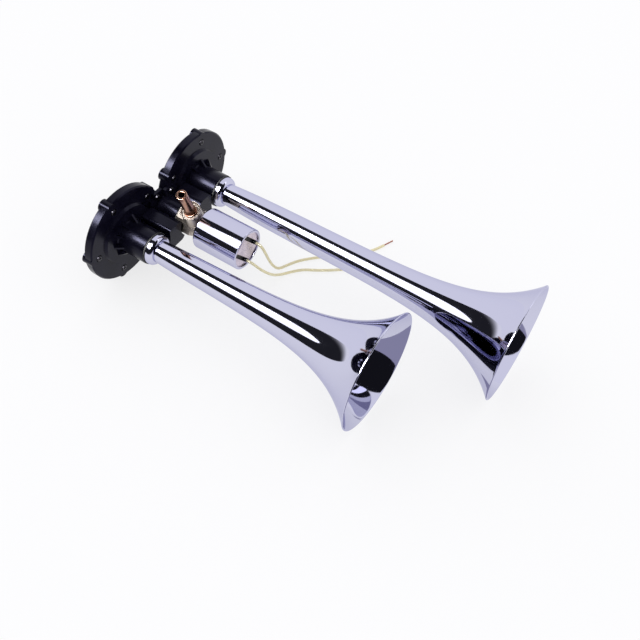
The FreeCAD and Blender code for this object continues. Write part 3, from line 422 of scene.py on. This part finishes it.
def made_by(name, tree, values, base, sharp_degrees=30):
    """Runs a tree on a base mesh and keeps its result as a plain mesh object."""
    piece = bpy.data.objects.new(name, base)
    bpy.context.collection.objects.link(piece)
    modifier = piece.modifiers.new("nodes", "NODES")
    modifier.node_group = tree
    for item in tree.interface.items_tree:
        if item.in_out == "INPUT" and item.name in values:
            modifier[item.identifier] = values[item.name]
    bpy.context.view_layer.update()
    graph = bpy.context.evaluated_depsgraph_get()
    mesh = bpy.data.meshes.new_from_object(piece.evaluated_get(graph))
    piece.modifiers.remove(modifier)
    piece.data = mesh
    mesh.name = name
    volume, open_edges = facing_out(mesh)
    mesh.shade_smooth()
    mesh.set_sharp_from_angle(angle=math.radians(sharp_degrees))
    print("%s: %d faces, %.0f cubic mm, %d open edges" % (
        name, len(mesh.polygons), volume, open_edges))
    return piece


# %% [markdown]
# ## Turned pieces
# The ferrules, the can and the hose nipple came off a lathe or a spinning tool, so each
# is an outline swept round its axis. A tree does the sweep. The outline is a mesh of
# edges, whose points are read as (along the axis, radius). The sweep's circle has a
# radius of its own, which is taken off the outline's, so the sizes come out true.

# %% A tree that sweeps an outline
SPIN_RADIUS = 0.1
TURNED_INPUTS = (("Segments", "NodeSocketInt"), ("Material", "NodeSocketMaterial"))
WELD = 0.00002


def spun(tree, profile, segments):
    """Sweeps a profile round the X axis."""
    ring = add(tree, "GeometryNodeCurvePrimitiveCircle", Radius=SPIN_RADIUS,
               Resolution=segments)
    upright = add(tree, "GeometryNodeSetCurveNormal", {"mode": "Z_UP"},
                  Curve=ring.outputs["Curve"])
    swept = add(tree, "GeometryNodeCurveToMesh", Curve=upright.outputs["Curve"],
                Profile_Curve=profile)
    return add(tree, "GeometryNodeTransform", Geometry=swept.outputs["Mesh"],
               Rotation=(0, math.radians(90), 0)).outputs["Geometry"]


def turned_tree():
    tree, given = new_tree("turned_piece", TURNED_INPUTS)
    outline = add(tree, "GeometryNodeMeshToCurve", Mesh=given["Geometry"]).outputs["Curve"]
    welded = add(tree, "GeometryNodeMergeByDistance",
                 Geometry=spun(tree, outline, given["Segments"]), Distance=WELD)
    end_tree(tree, welded.outputs["Geometry"], given["Material"])
    return tree


def outline_mesh(name, *outlines):
    """Outlines in millimetres as loose edges. One that ends at its start is closed."""
    places, edges = [], []
    for outline in outlines:
        first = len(places)
        closed = math.dist(outline[0], outline[-1]) < WELD
        points = outline[:-1] if closed else outline
        places += [(radius * MM - SPIN_RADIUS, -along * MM, 0) for along, radius in points]
        edges += [(first + at, first + at + 1) for at in range(len(points) - 1)]
        if closed:
            edges.append((len(places) - 1, first))
    mesh = bpy.data.meshes.new(name)
    mesh.from_pydata(places, edges, [])
    return mesh


def arc(middle, radius, start, end, steps=6):
    """Points of a circle's arc in an outline, angles in degrees from the axis."""
    angles = [math.radians(start + (end - start) * at / steps) for at in range(steps + 1)]
    return [(middle[0] + radius * math.cos(angle), middle[1] + radius * math.sin(angle))
            for angle in angles]


def place_mesh(piece, offset, direction=Vector((1, 0, 0))):
    """Turns a piece's mesh from X to a direction and moves it to its place in metres."""
    turn = Vector((1, 0, 0)).rotation_difference(direction)
    piece.data.transform(turn.to_matrix().to_4x4())
    piece.data.transform(Matrix.Translation(offset))
    piece.data.update()


TURNED = turned_tree()


# %% [markdown]
# ## The trumpets
# A trumpet is a drawn tube that widens slowly, with a spun bell brazed to it. Both
# follow one rule: what the radius gains grows e-fold over a fixed length. So their shape
# is a formula in a node tree, with the sizes of tube and mouth as its inputs. The same
# tree makes tubes and bells of both trumpets. The wall's inside keeps a constant
# distance from the outside.

# %% The flare as a node tree
FLARE_INPUTS = (
    ("Tube start", "NodeSocketFloat"), ("Neck radius", "NodeSocketFloat"),
    ("Tube radius", "NodeSocketFloat"), ("Taper length", "NodeSocketFloat"),
    ("Bell radius", "NodeSocketFloat"), ("Flare length", "NodeSocketFloat"),
    ("Mouth", "NodeSocketFloat"), ("Wall", "NodeSocketFloat"),
    ("Piece start", "NodeSocketFloat"), ("Piece end", "NodeSocketFloat"),
    ("Stations", "NodeSocketInt"), *TURNED_INPUTS,
)


def straight(tree, start, end, count):
    """Evenly spaced points on the sweep's own circle, between two places on the axis."""
    ends = [add(tree, "ShaderNodeCombineXYZ", Y=calc(tree, "MULTIPLY", along, -1.0)).outputs[0]
            for along in (start, end)]
    line = add(tree, "GeometryNodeCurvePrimitiveLine", Start=ends[0], End=ends[1])
    return add(tree, "GeometryNodeResampleCurve", Curve=line.outputs["Curve"],
               Count=count).outputs["Curve"]


def flare_tree():
    tree, g = new_tree("flared_wall", FLARE_INPUTS)
    blank = straight(tree, g["Piece start"], g["Piece end"], g["Stations"])
    place = add(tree, "GeometryNodeInputPosition").outputs["Position"]
    across = add(tree, "ShaderNodeSeparateXYZ", Vector=place).outputs["Y"]
    along = calc(tree, "MULTIPLY", across, -1.0)

    def growth(start, length, sign):
        power = calc(tree, "DIVIDE", calc(tree, "SUBTRACT", along, start), length)
        return calc(tree, "EXPONENT", calc(tree, "MULTIPLY", power, sign))

    narrow = calc(tree, "SUBTRACT", g["Tube radius"], g["Neck radius"])
    narrow = calc(tree, "MULTIPLY", narrow, growth(g["Tube start"], g["Taper length"], -1.0))
    opened = calc(tree, "SUBTRACT", g["Bell radius"], g["Tube radius"])
    opened = calc(tree, "MULTIPLY", opened, growth(g["Mouth"], g["Flare length"], 1.0))
    radius = calc(tree, "ADD", calc(tree, "SUBTRACT", g["Tube radius"], narrow), opened)
    slope = calc(tree, "ADD", calc(tree, "DIVIDE", narrow, g["Taper length"]),
                 calc(tree, "DIVIDE", opened, g["Flare length"]))
    lean = calc(tree, "SQRT", calc(tree, "ADD", calc(tree, "MULTIPLY", slope, slope), 1.0))
    step = calc(tree, "DIVIDE", g["Wall"], lean)
    reach = calc(tree, "SUBTRACT", radius, SPIN_RADIUS)
    outside = add(tree, "ShaderNodeCombineXYZ", X=reach, Y=across)
    inside = add(tree, "ShaderNodeCombineXYZ", X=calc(tree, "SUBTRACT", reach, step),
                 Y=calc(tree, "SUBTRACT", across, calc(tree, "MULTIPLY", step, slope)))
    ends = add(tree, "GeometryNodeMeshToCurve", Mesh=g["Geometry"]).outputs["Curve"]
    profiles = [add(tree, "GeometryNodeSetPosition", Geometry=blank,
                    Position=side.outputs[0]).outputs["Geometry"] for side in (outside, inside)]
    joined = add(tree, "GeometryNodeJoinGeometry")
    for profile in profiles + [ends]:
        tree.links.new(spun(tree, profile, g["Segments"]), joined.inputs["Geometry"])
    welded = add(tree, "GeometryNodeMergeByDistance", Geometry=joined.outputs["Geometry"],
                 Distance=WELD)
    end_tree(tree, welded.outputs["Geometry"], g["Material"])
    return tree


# %% [markdown]
# The formula gives the two sides of the wall. A straight line closes the wall where
# tube and bell meet, and a rolled bead closes it at the mouth: a ring of small round
# section, as the edge of the real bell is rolled. These are drawn in the same sizes.

# %% Tubes and bells
# Sizes are in millimetres. Those along a trumpet count from FACE, its place on the X axis.
AXIS_HEIGHT = 18
FACE = {"short": -19.0, "long": -15.0}
AXIS = {"short": Vector((0, -46, AXIS_HEIGHT)), "long": Vector((0, 46, AXIS_HEIGHT))}
MOUTH = {"short": 260.0, "long": 336.0}
TUBE = {"short": 12.2, "long": 13.0}
WALL = {"Tube start": 37.7, "Neck radius": 10.0, "Taper length": 40.0,
        "Bell radius": 55.0, "Flare length": 39.0, "Wall": 1.2}
BELL_LENGTH = 100.0
BEAD_RADIUS = 1.5
BEAD_STEPS = 10
TUBE_STATIONS = 90
BELL_STATIONS = 110
TRUMPET_SEGMENTS = 160


def radius_at(side, along):
    """The trumpets' outer radius in millimetres, by the same rule as the tree's."""
    narrow = (TUBE[side] - WALL["Neck radius"]) * math.exp(
        (WALL["Tube start"] - along) / WALL["Taper length"])
    opened = (WALL["Bell radius"] - TUBE[side]) * math.exp(
        (along - MOUTH[side]) / WALL["Flare length"])
    return TUBE[side] - narrow + opened


def wall_at(side, along):
    """The wall's outer and inner point at a place along the trumpet."""
    step = 0.01
    slope = (radius_at(side, along + step) - radius_at(side, along - step)) / (2 * step)
    lean = math.hypot(1, slope)
    radius = radius_at(side, along)
    return (along, radius), (along + WALL["Wall"] * slope / lean, radius - WALL["Wall"] / lean)


def rolled_bead(side):
    """The rounded edge between the two sides of the wall at the mouth."""
    outer, inner = wall_at(side, MOUTH[side] - BEAD_RADIUS)
    middle = ((outer[0] + inner[0]) / 2, (outer[1] + inner[1]) / 2)
    lean = math.degrees(math.atan2(outer[1] - inner[1], outer[0] - inner[0]))
    roll = arc(middle, math.dist(outer, inner) / 2, lean, lean - 180, BEAD_STEPS)
    return [outer] + roll[1:-1] + [inner]


def flared_piece(side, part, start, end, stations, ends):
    """A tube or a bell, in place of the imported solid."""
    sizes = {**WALL, "Tube radius": TUBE[side], "Mouth": MOUTH[side],
             "Piece start": start, "Piece end": end}
    values = {name: size * MM for name, size in sizes.items()}
    values.update({"Stations": stations, "Segments": TRUMPET_SEGMENTS, "Material": CHROME})
    name = side + part
    piece = made_by(name + "_shell", FLARE, values, outline_mesh(name + "_ends", *ends))
    place_mesh(piece, (AXIS[side] + Vector((FACE[side], 0, 0))) * MM)
    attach(piece, BODY)
    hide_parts(name)


FLARE = flare_tree()
for side in ("short", "long"):
    start, joint = WALL["Tube start"], MOUTH[side] - BELL_LENGTH
    lip = MOUTH[side] - BEAD_RADIUS
    flared_piece(side, "_tube", start, joint, TUBE_STATIONS,
                 (wall_at(side, start), wall_at(side, joint)))
    flared_piece(side, "_bell", joint, lip, BELL_STATIONS,
                 (wall_at(side, joint), rolled_bead(side)))


# %% [markdown]
# ## The ferrules
# A turned ferrule joins each tube to the black hub: a threaded spigot inside the hub, a
# narrow bright collar at the hub's end and a dome that falls to the tube.

# %% Ferrules
SPIGOT_RADIUS = 12.3
SPIGOT_START = 14.3
COLLAR_RADIUS = 14.5
COLLAR_START = 31.2
DOME_START = 32.6
COLLAR_BEVEL = 0.3
DOME_STEPS = 16


def ferrule_outline(side):
    outer, inner = wall_at(side, WALL["Tube start"])
    drop = COLLAR_RADIUS - outer[1]
    length = WALL["Tube start"] - DOME_START
    turns = [math.pi / 2 * at / DOME_STEPS for at in range(1, DOME_STEPS)]
    dome = [(DOME_START + length * math.sin(turn), outer[1] + drop * math.cos(turn))
            for turn in turns]
    return [inner, (SPIGOT_START, inner[1]), (SPIGOT_START, SPIGOT_RADIUS),
            (COLLAR_START, SPIGOT_RADIUS), (COLLAR_START, COLLAR_RADIUS - COLLAR_BEVEL),
            (COLLAR_START + COLLAR_BEVEL, COLLAR_RADIUS), (DOME_START, COLLAR_RADIUS),
            *dome, outer, inner]


def turned_piece(name, outline, node, material, offset, direction=Vector((1, 0, 0)),
                 segments=96):
    """A lathe-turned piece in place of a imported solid."""
    values = {"Segments": segments, "Material": material}
    piece = made_by(name, TURNED, values, outline_mesh(name + "_outline", outline))
    place_mesh(piece, offset * MM, direction)
    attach(piece, BODY)
    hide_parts(node)
    return piece


for side in ("short", "long"):
    turned_piece(side + "_ferrule_turned", ferrule_outline(side), side + "_ferrule", CHROME,
                 AXIS[side] + Vector((FACE[side], 0, 0)), segments=TRUMPET_SEGMENTS)


# %% [markdown]
# ## The can and the hose nipple
# The solenoid's can is a drawn steel cup, bright plated, with a soft corner at its back
# and its edge rolled over the end plate. The nipple is bored brass with a slight taper,
# a shoulder at its foot and broken edges.

# %% Can and nipple
CAN_PLACE = Vector((31.8, 0, AXIS_HEIGHT))
CAN = {"radius": 19.5, "length": 46.7, "wall": 1.2, "corner": 2.2, "edge": 0.9,
       "lip": 16.9, "roll": 1.5, "hole": 7.6}
NIPPLE_PLACE = Vector((22.4, 0, AXIS_HEIGHT))
NIPPLE_LEAN = math.radians(19.4)
NIPPLE = {"foot start": 15.5, "foot radius": 6.1, "step": 23.1, "neck radius": 5.3,
          "plain": 37.0, "tip radius": 4.85, "reach": 51.0, "bore": 2.8, "edge": 0.4}


def can_outline():
    c = CAN
    inner = c["radius"] - c["wall"]
    back = arc((c["corner"], c["radius"] - c["corner"]), c["corner"], 180, 90)
    front = arc((c["length"] - c["edge"], c["radius"] - c["edge"]), c["edge"], 90, 0)
    half = c["edge"] / 2
    lip = arc((c["length"] - half, c["lip"] + half), half, 0, -90, 4)
    return [(0, c["hole"]), *back, *front, *lip, (c["length"] - c["roll"], c["lip"]),
            (c["length"] - c["roll"], inner), (c["wall"], inner), (c["wall"], c["hole"]),
            (0, c["hole"])]


def nipple_outline():
    n = NIPPLE
    edge = n["edge"]
    shoulder = arc((n["step"] - edge, n["foot radius"] - edge), edge, 90, 0, 4)
    tip = arc((n["reach"] - edge, n["tip radius"] - edge), edge, 90, 0, 4)
    mouth = arc((n["reach"] - edge, n["bore"] + edge), edge, 0, -90, 4)
    return [(n["foot start"], n["bore"]), (n["foot start"], n["foot radius"]), *shoulder,
            (n["step"], n["neck radius"]), (n["plain"], n["tip radius"]), *tip, *mouth,
            (n["foot start"], n["bore"])]


turned_piece("solenoid_can_drawn", can_outline(), "solenoid_can", CHROME, CAN_PLACE,
             segments=128)
turned_piece("inlet_nipple_turned", nipple_outline(), "inlet_nipple", BRASS,
             NIPPLE_PLACE, Vector((0, -math.sin(NIPPLE_LEAN), math.cos(NIPPLE_LEAN))))


# %% [markdown]
# ## Screws
# Each sound unit is clamped by a ring of five pan-head screws, and four more hold the
# manifold. They repeat, so one screw is placed on points by a node tree, which turns
# each cross recess by a seeded random angle, as a fitter leaves them.

# %% Screw heads with a cross recess
SCREW = {"head": 2.8, "cap": 1.9, "core": 1.5, "cross": 3.0, "slot": 0.75, "recess": 1.2}
PAN = ((0.45, 1.0), (0.8, 0.9), (1.0, 0.62))
CUT_PAST = 1
SCREW_SEGMENTS = 32
SCREW_INPUTS = (("Screw", "NodeSocketObject"), ("Seed", "NodeSocketInt"),
                ("Material", "NodeSocketMaterial"))


def block_mesh(name, low, high):
    """A plain block, used only to cut a recess."""
    corners = [(x, y, z) for x in (low[0], high[0]) for y in (low[1], high[1])
               for z in (low[2], high[2])]
    mesh = bpy.data.meshes.new(name)
    mesh.from_pydata(corners, [], [(0, 1, 3, 2), (4, 6, 7, 5), (0, 4, 5, 1), (2, 3, 7, 6),
                                   (0, 2, 6, 4), (1, 5, 7, 3)])
    return bpy.data.objects.new(name, mesh)


def screw_piece(length):
    """One pan-head screw along X, its head's seat at the origin."""
    s = SCREW
    rise = s["cap"]
    pan = [(rise * height, s["head"] * width) for height, width in PAN]
    outline = [(-length, 0), (-length, s["core"]), (0, s["core"]), (0, s["head"]), *pan,
               (rise, 0)]
    values = {"Segments": SCREW_SEGMENTS, "Material": DARK_STEEL}
    screw = made_by("screw", TURNED, values, outline_mesh("screw_outline", outline))
    for across, up in ((s["cross"] / 2, s["slot"] / 2), (s["slot"] / 2, s["cross"] / 2)):
        cutter = block_mesh("cross", [(rise - s["recess"]) * MM, -across * MM, -up * MM],
                            [(rise + CUT_PAST) * MM, across * MM, up * MM])
        bpy.context.collection.objects.link(cutter)
        cut = screw.modifiers.new("cross", "BOOLEAN")
        cut.object = cutter
        bpy.context.view_layer.update()
        graph = bpy.context.evaluated_depsgraph_get()
        mesh = bpy.data.meshes.new_from_object(screw.evaluated_get(graph))
        screw.modifiers.remove(cut)
        screw.data = mesh
        bpy.data.objects.remove(cutter)
    return screw


def screw_tree():
    tree, g = new_tree("screws_on_points", SCREW_INPUTS)
    head = add(tree, "GeometryNodeObjectInfo", Object=g["Screw"]).outputs["Geometry"]
    turn = add(tree, "FunctionNodeRandomValue", Seed=g["Seed"])
    # The node has sockets for each type of number. Input 3 and output 1 are the plain ones.
    turn.inputs[3].default_value = math.pi / 2
    angle = add(tree, "ShaderNodeCombineXYZ", X=turn.outputs[1]).outputs[0]
    placed = add(tree, "GeometryNodeInstanceOnPoints", Points=g["Geometry"], Instance=head,
                 Rotation=angle)
    end_tree(tree, placed.outputs["Instances"], g["Material"])
    return tree


def screw_group(name, node, places, length, seed):
    points = bpy.data.meshes.new(name + "_places")
    points.from_pydata([tuple(place * MM) for place in places], [], [])
    one = screw_piece(length)
    values = {"Screw": one, "Seed": seed, "Material": DARK_STEEL}
    group = made_by(name, SCREWS, values, points)
    bpy.data.objects.remove(one)
    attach(group, BODY)
    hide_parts(node)


SCREWS = screw_tree()
SCREW_CIRCLE = 37.0
SCREW_COUNT = 5
HEAD_SINK = 1.0
HOUSING_SCREW_LENGTH = 8.3
FIRST_SCREW = {"short": 180, "long": 0}
for seed, (side, turn) in enumerate(FIRST_SCREW.items()):
    ring = []
    for at in range(SCREW_COUNT):
        angle = math.radians(turn + 360 * at / SCREW_COUNT)
        spoke = Vector((0, math.cos(angle), math.sin(angle))) * SCREW_CIRCLE
        ring.append(AXIS[side] + Vector((FACE[side] - HEAD_SINK, 0, 0)) + spoke)
    screw_group(side + "_screws_set", side + "_housing_screws", ring, HOUSING_SCREW_LENGTH,
                seed)

LUG_SEAT = 3.2
LUG_SIDE = {"short": -7.2, "long": 7.2}
LUG_RISE = 16
LUG_SCREW_LENGTH = 6.8
LUG_SEED = 7
LUG_SCREWS = [Vector((FACE[side] + LUG_SEAT, LUG_SIDE[side], AXIS_HEIGHT + level))
              for side in LUG_SIDE for level in (LUG_RISE, -LUG_RISE)]
screw_group("manifold_screws_set", "manifold_screws", LUG_SCREWS, LUG_SCREW_LENGTH, LUG_SEED)


# %% [markdown]
# ## Finishes on the solid pieces
# The other pieces keep the meshes of the solid model, whose shapes are right. Each gets
# the material of what it is made of.

# %% Give every solid its finish
FINISH = {
    "front_housing": MOULDING, "rear_cover": MOULDING, "manifold": MOULDING,
    "gasket": RUBBER, "diaphragm": STEEL, "trumpet_seal": RUBBER, "inlet_o_rings": RUBBER,
    "bracket_inserts": BRASS,
    "valve_body": CASTING, "valve_washer": RUBBER,
    "end_plate": ZINC, "coil_bobbin": BOBBIN,
    "coil_winding": COPPER, "guide_tube": BRASS, "plunger": STEEL,
    "plunger_seat_disc": RUBBER, "fixed_core": STEEL, "return_spring": STEEL,
    "lead_grommets": RUBBER,
}
finished = 0
for node_name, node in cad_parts.items():
    short_name = node_name.removeprefix("short_").removeprefix("long_")
    if short_name not in FINISH:
        continue
    finished += 1
    slots = node.material_slots
    if not slots:
        node.data.materials.append(FINISH[short_name])
    for material_slot in slots:
        material_slot.material = FINISH[short_name]
print("solid pieces given their finish:", finished)


# %% [markdown]
# ## The studio
# The horn lies on a white floor, on the short bell's rim and the discs of both units, so
# the floor is tilted under the model. Chrome shows nothing but what is round it, so the
# room matters as much as the metal. One large soft box high on the camera's side gives
# the white streaks. Black cloth round it gives their hard dark edges, and the bright
# room fills the rest. The camera sees none of these cards, only their reflections.

# %% Floor
REST = (Vector((-26.5, -46, -27.85)), Vector((-22.5, 46, -27.85)), Vector((241, -46, -37)))
FLOOR_SIZE = 4.0
FLOOR_GAP = 0.0002
FLOOR_GLOW = 0.75


def floor_piece():
    across = REST[1] - REST[0]
    ahead = REST[2] - REST[0]
    normal = ahead.cross(across).normalized()
    if normal.z < 0:
        normal.negate()
    middle = REST[0] * MM - normal * FLOOR_GAP
    side = normal.cross(Vector((1, 0, 0))).normalized()
    front = side.cross(normal)
    corners = [middle + (front * a + side * b) * FLOOR_SIZE
               for a, b in ((-1, -1), (1, -1), (1, 1), (-1, 1))]
    mesh = bpy.data.meshes.new("floor")
    mesh.from_pydata([tuple(corner) for corner in corners], [], [(0, 1, 2, 3)])
    made = bpy.data.objects.new("floor", mesh)
    bpy.context.collection.objects.link(made)
    material = bpy.data.materials.new("floor_white")
    material.use_nodes = True
    tree = material.node_tree
    tree.nodes.clear()
    sweep = add(tree, "ShaderNodeBsdfDiffuse", Color=colour("#FDFDFE"))
    glow = add(tree, "ShaderNodeEmission", Color=colour("#FFFFFF"), Strength=1.0)
    # To the camera and in reflections the floor glows a little, so its shadows stay faint.
    light = add(tree, "ShaderNodeLightPath")
    seen = calc(tree, "MAXIMUM", light.outputs["Is Camera Ray"], light.outputs["Is Glossy Ray"])
    mixed = add(tree, "ShaderNodeMixShader", n0=calc(tree, "MULTIPLY", seen, FLOOR_GLOW),
                n1=sweep.outputs["BSDF"], n2=glow.outputs["Emission"])
    add(tree, "ShaderNodeOutputMaterial", Surface=mixed.outputs["Shader"])
    mesh.materials.append(material)


floor_piece()


# %% [markdown]
# A card is a flat panel that glows evenly. It is given by corners in its own plane, and
# the plane by the angle round the trumpets and the distance. The soft box is just bright
# enough to turn white in the chrome, which keeps the edges of the streaks smooth. The
# black plastic mirrors far less, so a strong lamp in the middle of the box gives the
# hubs, the manifold and the valve body their highlights.

# %% Soft box
def card(name, corners, strength, tint="#FFFFFF"):
    """A flat panel with an even glow, which only shiny surfaces see."""
    mesh = bpy.data.meshes.new(name)
    mesh.from_pydata([tuple(corner) for corner in corners], [], [range(len(corners))])
    made = bpy.data.objects.new(name, mesh)
    bpy.context.collection.objects.link(made)
    material = bpy.data.materials.new(name)
    material.use_nodes = True
    tree = material.node_tree
    tree.nodes.clear()
    glow = add(tree, "ShaderNodeEmission", Color=colour(tint), Strength=strength)
    add(tree, "ShaderNodeOutputMaterial", Surface=glow.outputs["Emission"])
    mesh.materials.append(material)
    made.visible_camera = False
    made.visible_diffuse = False
    made.visible_shadow = False
    return tree


def on_plane(angle, distance, places):
    """Points of a plane parallel to the trumpets. Places are (ahead, round) in metres."""
    turn = math.radians(angle)
    outward = Vector((0, math.cos(turn), math.sin(turn)))
    round_way = Vector((0, -math.sin(turn), math.cos(turn)))
    return [outward * distance + Vector((1, 0, 0)) * ahead + round_way * around
            for ahead, around in places]


BOX_ANGLE = 128
BOX_DISTANCE = 1.5
BOX_GLOW = 1.9
SOFT_BOX = ((0.4, -0.66), (-0.45, -0.66), (-0.75, -0.52), (-1.13, -0.3), (-1.45, -0.05),
            (-1.65, 0.12), (-1.69, 0.24), (-1.54, 0.35), (-1.13, 0.42), (-0.8, 0.48),
            (0.4, 0.5))
LAMP_DISTANCE = 1.49
LAMP_GLOW = 36.0
LAMP = ((0.3, -0.44), (-0.5, -0.44), (-1.05, -0.15), (-1.05, 0.2), (0.3, 0.34))
card("soft_box", on_plane(BOX_ANGLE, BOX_DISTANCE, SOFT_BOX), BOX_GLOW)
lamp = card("soft_box_lamp", on_plane(BOX_ANGLE, LAMP_DISTANCE, LAMP), LAMP_GLOW)

# Chrome that reflects chrome would turn the lamp into hard specks, so after the first
# reflection it is only as strong as the soft box.
depth = add(lamp, "ShaderNodeLightPath").outputs["Ray Depth"]
lamp_strength = add(lamp, "ShaderNodeMapRange", Value=depth, From_Min=1.0, From_Max=2.0,
                    To_Min=LAMP_GLOW, To_Max=BOX_GLOW).outputs["Result"]
lamp.links.new(lamp_strength, lamp.nodes["Emission"].inputs["Strength"])


# %% [markdown]
# The black cloth hangs behind the soft box. Far behind the horn it hangs in the room's
# light, so it fades to white, and sooner at the top than near the floor. That softens
# the ends of the dark bands on the flares.

# %% Black cloth
CLOTH_DISTANCE = 1.7
CLOTH = ((3.0, -1.8), (-12.0, -1.8), (-18.0, 0.0), (-18.0, 3.1), (3.0, 3.1))
CLOTH_FADE = (-11.0, -4.7)
CLOTH_SLANT = 1.6
CLOTH_BLACK = "#242428"
cloth = card("black_cloth", on_plane(BOX_ANGLE, CLOTH_DISTANCE, CLOTH), 1.0)
fade_way = on_plane(BOX_ANGLE, 0, [(1, CLOTH_SLANT)])[0]
along = add(cloth, "ShaderNodeVectorMath", {"operation": "DOT_PRODUCT"}, n1=fade_way,
            n0=add(cloth, "ShaderNodeTexCoord").outputs["Object"]).outputs["Value"]
fade = add(cloth, "ShaderNodeMapRange", {"interpolation_type": "SMOOTHSTEP"}, Value=along,
           From_Min=CLOTH_FADE[0], From_Max=CLOTH_FADE[1]).outputs["Result"]
fade = ramp(cloth, fade, ((0.0, colour("#FFFFFF")), (1.0, colour(CLOTH_BLACK))))
cloth.links.new(fade, cloth.nodes["Emission"].inputs["Color"])


# %% [markdown]
# Three more cards finish the reflections. A window high on the far side lights the
# hexagon and the foot of the nipple. A fan of black cloth ahead of the horn gives the
# black patches inside the bells. The inside of a bell shows the room upside down, so a
# grey-lilac card just above the floor, painted shade for the floor ahead lying in shade,
# tones down the top of the short one.

# %% Window, cloth and shaded floor ahead
WINDOW_ANGLE = 52
WINDOW_DISTANCE = 1.5
WINDOW_GLOW = 1.5
WINDOW = ((0.35, -0.2), (1.35, -0.2), (1.35, 0.2), (0.35, 0.2))
card("window", on_plane(WINDOW_ANGLE, WINDOW_DISTANCE, WINDOW), WINDOW_GLOW)

FAN_AHEAD = 1.5
FAN_FOOT = -0.1
FAN_REACH = 4
FAN_ANGLES = [math.radians(angle) for angle in range(60, 181, 20)]
FAN = [Vector((FAN_AHEAD, 0, FAN_FOOT))] + [
    Vector((FAN_AHEAD, FAN_REACH * math.cos(angle), FAN_REACH * math.sin(angle)))
    for angle in FAN_ANGLES]
card("black_cloth_ahead", FAN, 1.0, "#18181C")

# Painted shade: a grey-lilac card for the floor ahead of the bells in shade, seen only in
# reflections.
SHADED_FLOOR_PLACES = ((0.3, -2.0, -0.007), (3.0, -2.0, -0.1), (3.0, 0.05, -0.1),
                (0.3, 0.05, -0.007))
SHADED_FLOOR_CARD = [REST[0] * MM + Vector(place) for place in SHADED_FLOOR_PLACES]
card("table_ahead", SHADED_FLOOR_CARD, 1.0, "#A09EB4")


# %% [markdown]
# The room is bright and almost white all round, so it lights the horn evenly. The
# Standard view keeps the tones as they are, so white stays white.

# %% Room
WORLD_LIGHT = 1.0
world = bpy.data.worlds.new("room")
bpy.context.scene.world = world
world.use_nodes = True
world_tree = world.node_tree
world_tree.nodes.clear()
room = add(world_tree, "ShaderNodeBackground", Color=colour("#FAFAFF"), Strength=WORLD_LIGHT)
add(world_tree, "ShaderNodeOutputWorld", Surface=room.outputs["Background"])

bpy.context.scene.view_settings.view_transform = "Standard"
